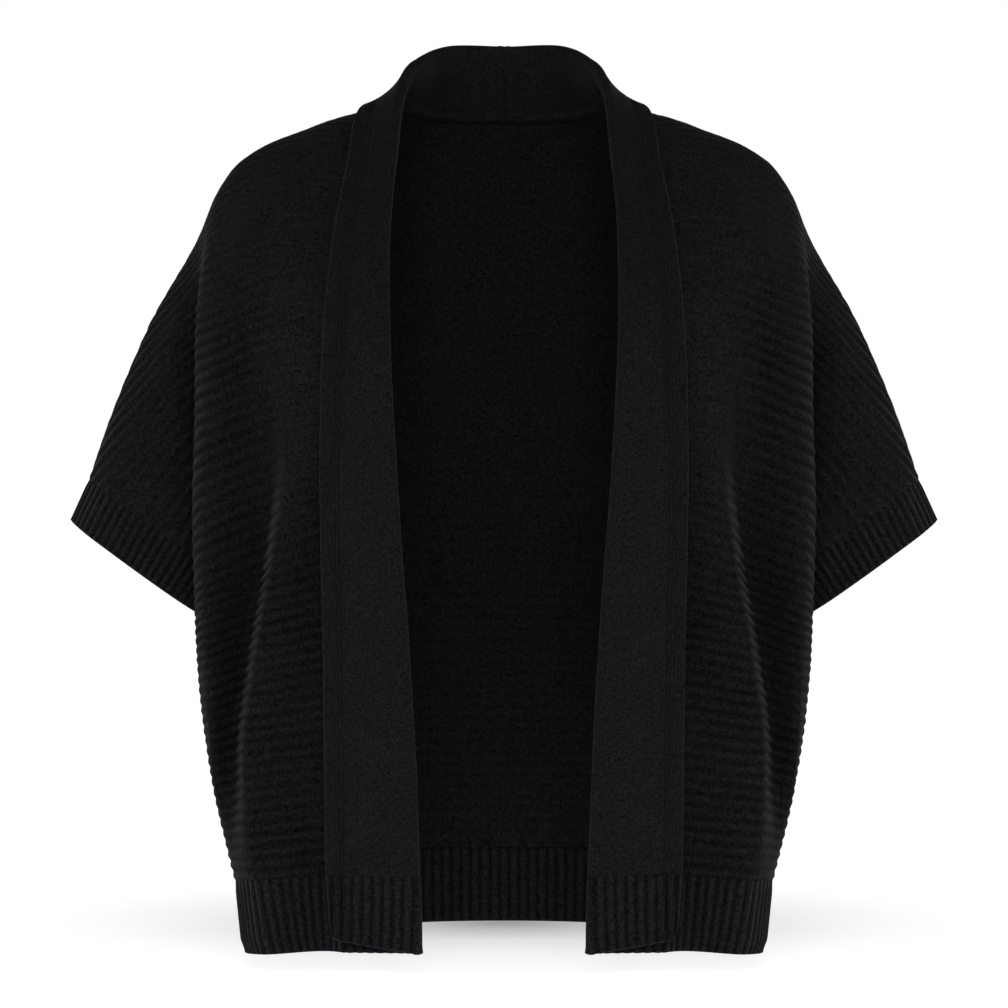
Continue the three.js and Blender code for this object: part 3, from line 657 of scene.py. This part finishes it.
def make_band_foot(side, sizes, materials):
    """The ribbed foot of the band, under its turned edge and up again along the fall."""
    stations = np.linspace(0, 1, 25)
    rise = (LAPEL_RISE * (1 - stations))[:, None]
    net = band_net(stations, np.linspace(0, 1, 65), fall_cuts(stations, 66), rise)
    net[..., 2] += SEAM_LAP * ease(stations * 6 - 5)[:, None]
    n = normals_of(net, 5, -10, -1)
    n[..., 2] = 0
    n = unit(n)
    length = reach(net, axis=1)
    from_free = length[:, -1:] - length
    drop = (1 - stations)[:, None]
    border = ease((BORDER_RIBS * BORDER_PITCH + 0.5 - from_free) / 1.5)
    phase = from_free / mm(sizes.rib) + 0.45 * drop ** 1.3
    start = rib_start(drop * 5)
    ribs = rib_relief(phase, mm(sizes.rib_height), start)
    edge_ribs = border_relief(from_free, sizes)
    roll = 0.6 * swell((1 - drop) * HEM_HEIGHT, 0, 2.4)
    relief = ribs * (1 - border) + edge_ribs * border + roll
    outer = net + n * (BAND_WALL + relief)[..., None]
    outer[..., 2] -= 0.9 * scallops(phase) * (1 - ease((1 - drop) * 12))
    inner = net - n * rib_relief(phase + 0.5, 0.5, start)[..., None]
    short = np.clip(CORNER_RADIUS - from_free, 0, None)
    corner = CORNER_RADIUS - np.sqrt(CORNER_RADIUS ** 2 - short ** 2)
    for face in (outer, inner):
        face[..., 2] += corner * ease((drop - 0.8) * 5)
    middle = (outer + inner) / 2
    middle[0, :, 2] -= EDGE_BULGE
    middle[:, -1] += unit(net[:, -1] - net[:, -2]) * FREE_BULGE
    knit = rib_knit(phase, drop, HEM_HEIGHT, sizes)
    name = "band_hem_" + SIDES[side]
    piece = shell("ribbed_" + name, side, outer, middle, inner[::2], knit, knit[::2])
    return finish_piece(piece, name, materials)


def make_hem(name, top_line, pull, lean, side, sizes, materials):
    """A ribbed hem hanging from a seam line. pull tells how far it is drawn in at a share of the
    line, lean how far its ribs swing."""
    out = reach(top_line)
    total = out[-1]
    height = mm(sizes.rib_height)
    ribs = int(round(total / mm(sizes.rib)))
    t = np.linspace(0, 1, ribs * RIB_STEPS + 1)
    top = at_places(top_line, t * total, out)
    swung = np.clip(t + lean / total * np.sin(np.pi * t), 0, 1)
    bottom = at_places(top_line, swung * total, out)
    drawn = pull(t)
    bottom[:, :2] *= (1 - (1 - HEM_TAPER) * drawn)[:, None]
    bottom[:, 2] = HEM_BOTTOM - SIDE_DROP * drawn ** 2
    down = np.linspace(1, 0, 21)[:, None]
    net = bottom * down[..., None] + (top + [0, 0, SEAM_LAP]) * (1 - down)[..., None]
    net[..., :2] *= (1 - HEM_CURL * ease((down - 0.8) * 5) * drawn)[..., None]
    along = np.gradient(net, axis=1)
    n = unit(np.stack([along[..., 1], -along[..., 0], np.zeros(along.shape[:2])], axis=-1))
    facing = (n[..., :2] * net[..., :2]).sum(-1, keepdims=True)
    n = np.where(facing < 0, -n, n)
    uneven = 0.05 * wander(t * ribs / 3.1, down * 2.0, 5.2)
    phase = t[None, :] * ribs - 0.5 + uneven
    start = rib_start(down * 5)
    outer = net + n * rib_relief(phase, height, start)[..., None]
    inner = net - n * (mm(sizes.wall) - rib_relief(phase + 0.5, height, start))[..., None]
    scallop = scallops(phase) * (1 - ease((1 - down) * 12))
    outer[..., 2] -= scallop
    inner[..., 2] += scallop
    middle = (outer + inner) / 2
    middle[0, :, 2] -= EDGE_BULGE
    knit = rib_knit(phase, down, HEM_HEIGHT, sizes)
    piece = shell("ribbed_" + name, side, outer, middle, inner, knit, knit + [0.5, 0.0])
    return finish_piece(piece, name, materials)


def make_cuff(side, sizes, materials):
    """The ribbed ring at the end of a sleeve."""
    corner = UNDERARM * UP
    loop = np.concatenate([FRONT[-1, corner:], BACK[-1, corner:-1][::-1]])
    out = reach(loop)
    around = out[-1]
    pitch, height = mm(sizes.rib) * CUFF_RIBS, mm(sizes.rib_height) * CUFF_RIBS
    ribs = int(round(around / pitch))
    t = np.linspace(0, 1, ribs * RIB_STEPS + 1)
    ring = at_places(loop, t * around, out)
    ring[-1] = ring[0]
    edge = (ring - CUFF_INNER) * CUFF_TAPER + CUFF_OUTER
    down = np.linspace(0, 1, 17)[:, None]
    net = (ring - ARM_AXIS * SEAM_LAP) * (1 - down)[..., None] + edge * down[..., None]
    ends = np.concatenate([ring[-2:-1], ring, ring[1:2]])
    n = unit(np.cross(ends[2:] - ends[:-2], ARM_AXIS))
    facing = (n * (ring - ring[:-1].mean(axis=0))).sum(-1, keepdims=True)
    n = np.where(facing < 0, -n, n)[None]
    away = np.minimum(t, 1 - t) * around
    fade = np.clip(away / (3 * pitch) - 0.5, 0, 1)[None, :]
    start = rib_start(down * 4)
    phase = t[None, :] * ribs - 0.5 + 0.04 * wander(t * ribs / 2.7, down, 1.9)
    outer = net + n * rib_relief(phase, height, start, fade)[..., None]
    inner = net - n * (mm(sizes.wall) - rib_relief(phase + 0.5, height, start, fade))[..., None]
    scallop = 0.8 * scallops(phase) * ease((down - 0.9) * 10) * fade
    outer = outer + ARM_AXIS * scallop[..., None]
    inner = inner - ARM_AXIS * scallop[..., None]
    middle = (outer + inner) / 2
    middle[-1] += ARM_AXIS * EDGE_BULGE
    knit = rib_knit(phase, down, CUFF_HEIGHT, sizes)
    name = "cuff_" + SIDES[side]
    piece = shell("ribbed_" + name, side, outer, middle, inner, knit, knit + [0.5, 0.0], ring=True)
    return finish_piece(piece, name, materials)


# ---- materials ----
# Depth of the stitches of each kind of cloth in metres, and the clumps of its felt in a metre
STITCH_DEPTH = {"ridged": 0.0011, "plain": 0.0003, "ribbed": 0.0008}
FELT_SCALE = {"ridged": 430.0, "plain": 560.0, "ribbed": 460.0}
RIB_TONE = 1.25  # of the ribs beside the ridged knit


class Bench:
    """Lays out the nodes of a material or of the world."""

    def __init__(self, owner):
        owner.use_nodes = True
        self.tree = owner.node_tree

    def fill(self, node, inputs):
        """Sets the inputs of a node, each to a value or to another node's output."""
        for key, value in inputs.items():
            if isinstance(value, bpy.types.NodeSocket):
                self.tree.links.new(value, node.inputs[key])
            else:
                node.inputs[key].default_value = value

    def add(self, kind, inputs, output=0, **values):
        """One output of a new node."""
        node = self.tree.nodes.new(kind)
        for key, value in values.items():
            setattr(node, key, value)
        self.fill(node, inputs)
        return node.outputs[output]

    def split(self, place):
        """The parts of a place, one for each axis."""
        node = self.tree.nodes.new("ShaderNodeSeparateXYZ")
        self.fill(node, {0: place})
        return node.outputs

    def math(self, operation, *values):
        return self.add("ShaderNodeMath", dict(enumerate(values)), operation=operation)

    def times(self, a, b):
        return self.math("MULTIPLY", a, b)

    def scaled(self, value, by, plus):
        """A value times a second, and a third added."""
        return self.math("MULTIPLY_ADD", value, by, plus)


class Wool(Bench):
    """The material of one cloth. x and y are its knit coordinates, place a point on it, out the
    distance from the middle of the garment and down that below the shoulder points."""

    def __init__(self, name):
        self.material = bpy.data.materials.new(name)
        super().__init__(self.material)
        self.x, self.y = self.split(self.add("ShaderNodeUVMap", {}, uv_map="knit"))[:2]
        self.place = self.add("ShaderNodeTexCoord", {}, "Object")
        level = self.split(self.place)
        self.out = self.math("ABSOLUTE", level[0])
        self.down = self.times(level[2], -1.0)

    def wave(self, turns):
        """0 to 1 and back, 1 on whole numbers."""
        return self.scaled(self.math("COSINE", self.times(turns, 2 * math.pi)), 0.5, 0.5)

    def noise(self, scale, detail=2.0, rough=0.55):
        inputs = {"Vector": self.place, "Scale": scale, "Detail": detail, "Roughness": rough}
        return self.add("ShaderNodeTexNoise", inputs)

    def spread(self, value, low=0.30, high=0.70):
        """Stretches a part of a value to 0 to 1, as a rule the middle of a noise."""
        return self.add("ShaderNodeMapRange", {"Value": value, "From Min": low, "From Max": high})

    def grown(self, length, limits):
        """Grows from 0 to 1 between two limits in millimetres."""
        return self.spread(length, *(limit * 0.001 for limit in limits))

    def blend(self, share, low, high):
        return self.add("ShaderNodeMix", {0: share, 6: low, 7: high}, 2, data_type="RGBA")

    def drift(self, scale):
        """How far the yarn wanders, about 0."""
        return self.math("SUBTRACT", self.noise(scale), 0.5)

    def legs(self, across):
        """The slant of the two legs of a stitch: 0 halfway between whole numbers, 0.5 on them."""
        return self.math("ABSOLUTE", self.math("SUBTRACT", self.math("FRACT", across), 0.5))

    def felt(self, scale):
        """The matted nap over the stitches: soft clumps and, over them, loose single fibres."""
        clumps = self.spread(self.noise(scale, 3.0, 0.6), 0.32, 0.68)
        fibres = self.spread(self.noise(scale * 2.2, 2.0, 0.6), 0.34, 0.66)
        return self.scaled(clumps, 0.55, self.times(fibres, 0.45))

    def finish(self, kind, relief, yarn, tone, finish):
        """Relief, colour and surface of one kind of cloth. relief is that of its stitches from 0 to
        1, tone the share of the yarn's own colour. The colour darkens towards the low parts of the
        relief: painted shade in the furrows."""
        felt = self.felt(FELT_SCALE[kind])
        height = self.scaled(relief, STITCH_DEPTH[kind], self.times(felt, finish.felt))
        bump = self.add("ShaderNodeBump", {"Strength": 1.0, "Distance": 1.0, "Height": height})
        patchy = self.scaled(self.spread(self.noise(38.0)), 0.05, self.times(felt, 0.95))
        # tone is lower on the inner side: painted shade.
        dull, bright = ([c * tone * (1 + way * finish.mottle) for c in yarn] + [1.0] for way in (-1, 1))
        surface = self.blend(patchy, dull, bright)
        # Painted shade: the colour darkens to this in the furrows of the stitches.
        painted_furrow_shade = self.blend(finish.furrow, [0.0, 0.0, 0.0, 1.0], surface)
        self.fill(self.tree.nodes["Principled BSDF"], {
            "Base Color": self.blend(self.math("POWER", relief, 0.6), painted_furrow_shade, surface),
            "Roughness": 0.92,
            "Normal": bump,
            "Specular IOR Level": finish.gloss,
            "Sheen Weight": finish.sheen,
            "Sheen Roughness": finish.sheen_spread,
            "Sheen Tint": list(finish.sheen_colour) + [1.0],
        })
        return self.material


def ridge_wool(name, shade, finish):
    """Raised cross rows of small rounded stitches, matted over and rubbed flat where cloth lies
    smooth."""
    m = Wool(name)
    drift = m.drift(170.0)
    row = m.scaled(drift, 0.24, m.y)
    offset = m.times(m.math("ROUND", row), 0.5)
    stitch = m.math("ADD", m.scaled(drift, 1.2, m.x), offset)
    ridges = m.times(m.wave(row), m.scaled(m.wave(stitch), 0.3, 0.7))
    side = m.times(m.grown(m.out, HANGING_OUT), m.grown(m.down, HANGING_DOWN))
    hanging = m.math("MAXIMUM", side, m.grown(m.down, HANGING_LOW))
    worn = m.scaled(m.spread(m.noise(24.0)), 0.35, 0.65)
    rubbed = m.scaled(m.grown(m.out, (130, 90)), -0.5, 1.0)
    bent = m.scaled(m.grown(m.out, (225, 250)), -0.35, 1.0)
    hanging = m.scaled(hanging, 1 - SMOOTH_SHARE, SMOOTH_SHARE)
    clear = m.times(hanging, m.times(worn, m.times(rubbed, bent)))
    furrows = m.scaled(ridges, -1.0, 1.0)
    body = m.scaled(m.times(furrows, clear), -1.0, 1.0)
    return m.finish("ridged", body, finish.yarn, shade, finish)


def plain_wool(name, shade, finish):
    """Fine flat knit with a brushed nap that nearly hides its stitches."""
    m = Wool(name)
    wale = m.scaled(m.drift(260.0), 0.5, m.x)
    loops = m.wave(m.math("ADD", m.legs(wale), m.y))
    stitches = m.scaled(m.times(loops, m.wave(wale)), 0.4, 0.6)
    return m.finish("plain", stitches, finish.plain_yarn, shade, finish)


def rib_wool(name, shade, finish):
    """Ribbing: columns of small arched stitches with furrows between them, darkened by painted shade."""
    m = Wool(name)
    drift = m.drift(240.0)
    columns = m.wave(m.scaled(drift, 0.16, m.x))
    arch = m.legs(m.math("ADD", m.x, 0.5))
    loops = m.wave(m.scaled(arch, 1.6, m.scaled(drift, 1.5, m.y)))
    raised = m.times(columns, m.scaled(loops, 0.2, 0.8))
    return m.finish("ribbed", raised, finish.yarn, RIB_TONE * shade, finish)


def cloth_materials(kind, finish):
    """The outside of a cloth and its inside, darkened by painted shade, made once and shared."""
    maker = {"ridged": ridge_wool, "plain": plain_wool, "ribbed": rib_wool}[kind]
    shades = {f"{kind} wool knit": 1.0, f"{kind} wool knit inside": finish.inside}
    return [bpy.data.materials.get(name) or maker(name, shade, finish) for name, shade in shades.items()]


# ---- settings ----
def setting(name, description, default, low, high, **kind):
    """A number that the user can change."""
    return bpy.props.FloatProperty(
        name=name, description=description, default=default, min=low, max=high, **kind)


def length_setting(name, description, default, low, high):
    return setting(name, description, default, low, high, unit="LENGTH")


def share_setting(name, description, default):
    return setting(name, description, default, 0.0, 1.0, subtype="FACTOR")


def colour_setting(name, description, default):
    return bpy.props.FloatVectorProperty(
        name=name, description=description, default=default, size=3, min=0.0, max=1.0, subtype="COLOR")


class CardiganSizes(bpy.types.PropertyGroup):
    wall: length_setting(
        "Cloth thickness", "Thickness of the body knit and the ribs", 0.003, 0.002, 0.005)
    course: length_setting(
        "Ridge pitch", "Distance from one ridge of the body knit to the next", 0.0089, 0.006, 0.014)
    ridge: length_setting(
        "Ridge height", "How far a ridge of the body knit stands out", 0.0008, 0.0, 0.002)
    stitch: length_setting(
        "Stitch width", "Width of one stitch along a ridge", 0.0037, 0.002, 0.008)
    plain_stitch: length_setting(
        "Band stitch width", "Width of one stitch of the band", 0.0025, 0.0015, 0.006)
    plain_course: length_setting(
        "Band stitch height", "Height of one stitch of the band", 0.0021, 0.0015, 0.006)
    border: length_setting(
        "Border rib height", "How far the ribs along the free edge of the band stand out",
        0.0013, 0.0, 0.002)
    rib: length_setting(
        "Rib pitch", "One rib and one furrow of the hem", 0.0074, 0.005, 0.014)
    rib_height: length_setting(
        "Rib height", "How far a rib of the hem stands out", 0.0010, 0.0, 0.002)
    rib_course: length_setting(
        "Rib stitch height", "Height of one stitch along a rib", 0.0026, 0.0015, 0.006)


class CardiganFinish(bpy.types.PropertyGroup):
    yarn: colour_setting(
        "Body yarn", "Colour of the ridged knit and the ribs", (0.0111, 0.0112, 0.0125))
    plain_yarn: colour_setting(
        "Band yarn", "Colour of the plain knit of the band", (0.0121, 0.0122, 0.0135))
    # Painted shade of the garment's inside: the inner side's colour is scaled down by this.
    inside: setting(
        "Inside tone", "Tone of the cloth's inner side beside its outside", 0.82, 0.0, 2.0)
    mottle: share_setting(
        "Mottle", "How far the matted fibres differ in tone", 0.95)
    felt: length_setting(
        "Felting", "Height of the matted nap over the stitches", 0.00035, 0.0, 0.002)
    # Painted shade in the furrows of the stitches: the share of the yarn's colour left there.
    furrow: share_setting(
        "Furrow tone", "Share of the yarn's colour left in the furrows", 0.35)
    gloss: share_setting(
        "Gloss", "Strength of the yarn's own highlight", 0.02)
    sheen: share_setting(
        "Nap", "Strength of the soft light on the loose fibres", 0.07)
    sheen_spread: share_setting(
        "Nap spread", "How far the light on the fibres spreads in from the edges", 0.3)
    sheen_colour: colour_setting(
        "Nap colour", "Colour of the light on the fibres", (0.9, 0.93, 1.0))


class CardiganStage(bpy.types.PropertyGroup):
    distance: length_setting(
        "Camera distance", "From the camera to the middle of the garment", 3.0, 1.0, 10.0)
    height: length_setting(
        "Camera height", "Height of the camera over the shoulder points", -0.297, -2.0, 2.0)
    lens: setting(
        "Focal length", "Focal length of the camera", 142.857, 35.0, 300.0, unit="CAMERA")
    floor_gap: length_setting(
        "Floor gap", "Clear height between the lower edge and the floor", 0.003, 0.0, 1.0)
    surround: setting(
        "Backdrop", "Brightness of the white wall behind", 1.0, 0.0, 5.0)
    room: setting(
        "Room", "Brightness of the rest of the room", 0.02, 0.0, 5.0)
    # Glow of the floor at the middle of its painted shadow under the garment.
    glow_in_painted_shadow: setting(
        "Floor shade", "Light that the pale floor gives off under the garment", 0.25, 0.0, 1.0)
    front: setting(
        "Front light", "Power of the broad soft light in front", 73.0, 0.0, 1000.0, unit="POWER")
    front_height: length_setting(
        "Front light height", "Height of the front light over the shoulder points", 2.1, -1.0, 5.0)
    side: setting(
        "Side lights", "Power of each soft light at the sides", 18.0, 0.0, 1000.0, unit="POWER")
    side_height: length_setting(
        "Side light height", "Height of the side lights over the shoulder points", 0.0, -1.0, 5.0)
    side_angle: setting(
        "Side light angle", "Turn of the side lights away from the front, in degrees", 78.0, 0.0, 120.0)


# ---- stage ----
FRONT_DISTANCE, FRONT_SIZE = 3.4, (1.6, 1.6)  # of the front light
SIDE_DISTANCE, SIDE_SIZE = 2.8, (1.0, 1.8)  # of each side light
FLOOR_SIDE, FLOOR_NEAR, FLOOR_FAR = 1.4, -1.5, 9.0
PAINTED_SHADOW_WIDTH, PAINTED_SHADOW_DEPTH = 0.2, 0.16  # of the painted shadow on the floor, each way from its middle
PAINTED_SHADOW_BACK = 0.24  # how far its middle lies behind the shoulder points
WALL_EDGE = (0.55, 0.92)  # the room grows into the wall between these, 1 being straight back


def soft_light(name, place, aim, size, power):
    """A rectangular area light that looks at a point."""
    bpy.ops.object.light_add(type="AREA", location=place)
    light = bpy.context.object
    light.name = name
    light.data.shape = "RECTANGLE"
    light.data.size, light.data.size_y = size
    light.data.energy = power
    x, y, z = np.array(aim) - np.array(place)
    light.rotation_euler = [math.atan2(math.hypot(x, y), -z), 0.0, math.atan2(-x, y)]


def pale_floor(height, stage):
    """A strip of white paper that glows so that it melts into the wall, with a painted shadow
    under the garment where its glow drops."""
    mesh = bpy.data.meshes.new("floor")
    places = ((-1, FLOOR_NEAR), (1, FLOOR_NEAR), (1, FLOOR_FAR), (-1, FLOOR_FAR))
    mesh.from_pydata([(side * FLOOR_SIDE, y, height) for side, y in places], [], [(0, 1, 2, 3)])
    floor = bpy.data.objects.new("floor", mesh)
    bpy.context.scene.collection.objects.link(floor)
    paint = bpy.data.materials.new("pale floor")
    mesh.materials.append(paint)
    m = Bench(paint)
    measured = m.add("ShaderNodeMapping", {
        "Vector": m.add("ShaderNodeTexCoord", {}, "Object"),
        "Location": (0, -PAINTED_SHADOW_BACK / PAINTED_SHADOW_DEPTH, 0),
        "Scale": (1 / PAINTED_SHADOW_WIDTH, 1 / PAINTED_SHADOW_DEPTH, 0),
    })
    away = m.add("ShaderNodeVectorMath", {0: measured}, "Value", operation="LENGTH")
    # Painted shadow: the glow drops from 1 far off to the setting's value under the garment.
    shade = m.math("EXPONENT", m.times(m.math("POWER", away, 1.1), -1.0))
    m.fill(m.tree.nodes["Principled BSDF"], {
        "Base Color": (0.25, 0.25, 0.25, 1),
        "Roughness": 0.9,
        "Specular IOR Level": 0.1,
        "Emission Color": (1, 1, 1, 1),
        "Emission Strength": m.scaled(shade, stage.glow_in_painted_shadow - 1, 1),
    })
    return floor


def surround_light(world, stage):
    """A white wall far behind the garment in a dimmer room."""
    m = Bench(world)
    backward = m.split(m.add("ShaderNodeTexCoord", {}, "Generated"))[1]
    low, high = WALL_EDGE
    inputs = {"Value": backward, "From Min": low, "From Max": high,
              "To Min": stage.room, "To Max": stage.surround}
    strength = m.add("ShaderNodeMapRange", inputs, interpolation_type="SMOOTHSTEP")
    m.fill(m.tree.nodes["Background"], {"Color": (1, 1, 1, 1), "Strength": strength})


# ---- operators ----
def make_piece(context, make, kind, *first):
    """Makes a piece of one kind of cloth from the user's settings."""
    scene = context.scene
    make(*first, scene.cardigan_sizes, cloth_materials(kind, scene.cardigan_finish))


class CARDIGAN_OT_fronts(bpy.types.Operator):
    """Make the two ridged fronts with their cape sleeves"""
    bl_idname = "cardigan.fronts"
    bl_label = "Ridged Fronts"

    def execute(self, context):
        for side in SIDES:
            make_piece(context, make_front, "ridged", side)
        return {"FINISHED"}


class CARDIGAN_OT_back(bpy.types.Operator):
    """Make the ridged back with its halves of the cape sleeves"""
    bl_idname = "cardigan.back"
    bl_label = "Ridged Back"

    def execute(self, context):
        make_piece(context, make_back, "ridged")
        return {"FINISHED"}


class CARDIGAN_OT_bands(bpy.types.Operator):
    """Make the two halves of the turned-out plain band"""
    bl_idname = "cardigan.bands"
    bl_label = "Turned Band"

    def execute(self, context):
        for side in SIDES:
            make_piece(context, make_band, "plain", side)
        return {"FINISHED"}


class CARDIGAN_OT_band_feet(bpy.types.Operator):
    """Make the ribbed feet of the band"""
    bl_idname = "cardigan.band_feet"
    bl_label = "Ribbed Band Feet"

    def execute(self, context):
        for side in SIDES:
            make_piece(context, make_band_foot, "ribbed", side)
        return {"FINISHED"}


class CARDIGAN_OT_hems(bpy.types.Operator):
    """Make the ribbed hems of the fronts and the back"""
    bl_idname = "cardigan.hems"
    bl_label = "Ribbed Hems"

    def execute(self, context):
        for side, name in SIDES.items():
            hem = ("hem_front_" + name, FRONT[:, 0], lambda t: t, -RIB_LEAN, side)
            make_piece(context, make_hem, "ribbed", *hem)
        whole = with_mirror(BACK[None, :, 0])[0]
        hem = ("hem_back", whole, lambda t: np.abs(2 * t - 1), 0.0, 1)
        make_piece(context, make_hem, "ribbed", *hem)
        return {"FINISHED"}


class CARDIGAN_OT_cuffs(bpy.types.Operator):
    """Make the two ribbed cuffs"""
    bl_idname = "cardigan.cuffs"
    bl_label = "Ribbed Cuffs"

    def execute(self, context):
        for side in SIDES:
            make_piece(context, make_cuff, "ribbed", side)
        return {"FINISHED"}


class CARDIGAN_OT_stage(bpy.types.Operator):
    """Make the camera, the pale floor and the soft lights"""
    bl_idname = "cardigan.stage"
    bl_label = "Stage and Lights"

    def execute(self, context):
        scene = context.scene
        stage = scene.cardigan_stage
        level = (math.pi / 2, 0, 0)
        bpy.ops.object.camera_add(location=(0, -stage.distance, stage.height), rotation=level)
        camera = bpy.context.object
        camera.name = "view"
        camera.data.lens = stage.lens
        camera.data.sensor_width = 36.0
        scene.camera = camera
        pale_floor(CAD_LOW[2] - stage.floor_gap, stage)
        middle = (0, 0, stage.height)
        place = (0, -FRONT_DISTANCE, stage.front_height)
        soft_light("front light", place, middle, FRONT_SIZE, stage.front)
        turn = math.radians(stage.side_angle)
        out, ahead = SIDE_DISTANCE * math.sin(turn), SIDE_DISTANCE * math.cos(turn)
        for side, name in SIDES.items():
            place = (side * out, -ahead, stage.side_height)
            soft_light(name + " light", place, middle, SIDE_SIZE, stage.side)
        scene.world = scene.world or bpy.data.worlds.new("surround")
        surround_light(scene.world, stage)
        scene.view_settings.view_transform = "Standard"
        return {"FINISHED"}


STEPS = (
    CARDIGAN_OT_stage,
    CARDIGAN_OT_back,
    CARDIGAN_OT_fronts,
    CARDIGAN_OT_bands,
    CARDIGAN_OT_band_feet,
    CARDIGAN_OT_hems,
    CARDIGAN_OT_cuffs,
)


class CARDIGAN_PT_make(bpy.types.Panel):
    """Lists the steps that make the cardigan, with its sizes and finish"""
    bl_idname = "CARDIGAN_PT_make"
    bl_label = "Cardigan"
    bl_space_type = "VIEW_3D"
    bl_region_type = "UI"
    bl_category = "Cardigan"

    def draw(self, context):
        for step in STEPS:
            self.layout.operator(step.bl_idname)
        scene = context.scene
        for group in (scene.cardigan_sizes, scene.cardigan_finish, scene.cardigan_stage):
            box = self.layout.box()
            for name in group.bl_rna.properties.keys():
                if name not in ("rna_type", "name"):
                    box.prop(group, name)


CLASSES = (CardiganSizes, CardiganFinish, CardiganStage) + STEPS + (CARDIGAN_PT_make,)


def register():
    for cls in CLASSES:
        bpy.utils.register_class(cls)
    bpy.types.Scene.cardigan_sizes = bpy.props.PointerProperty(type=CardiganSizes)
    bpy.types.Scene.cardigan_finish = bpy.props.PointerProperty(type=CardiganFinish)
    bpy.types.Scene.cardigan_stage = bpy.props.PointerProperty(type=CardiganStage)


def unregister():
    del bpy.types.Scene.cardigan_stage
    del bpy.types.Scene.cardigan_finish
    del bpy.types.Scene.cardigan_sizes
    for cls in reversed(CLASSES):
        bpy.utils.unregister_class(cls)


def main():
    register()
    bpy.ops.object.select_all(action="DESELECT")
    bpy.ops.cardigan.stage()
    bpy.ops.cardigan.back()
    bpy.ops.cardigan.fronts()
    bpy.ops.cardigan.bands()
    bpy.ops.cardigan.band_feet()
    bpy.ops.cardigan.hems()
    bpy.ops.cardigan.cuffs()


if __name__ == "__main__":
    main()
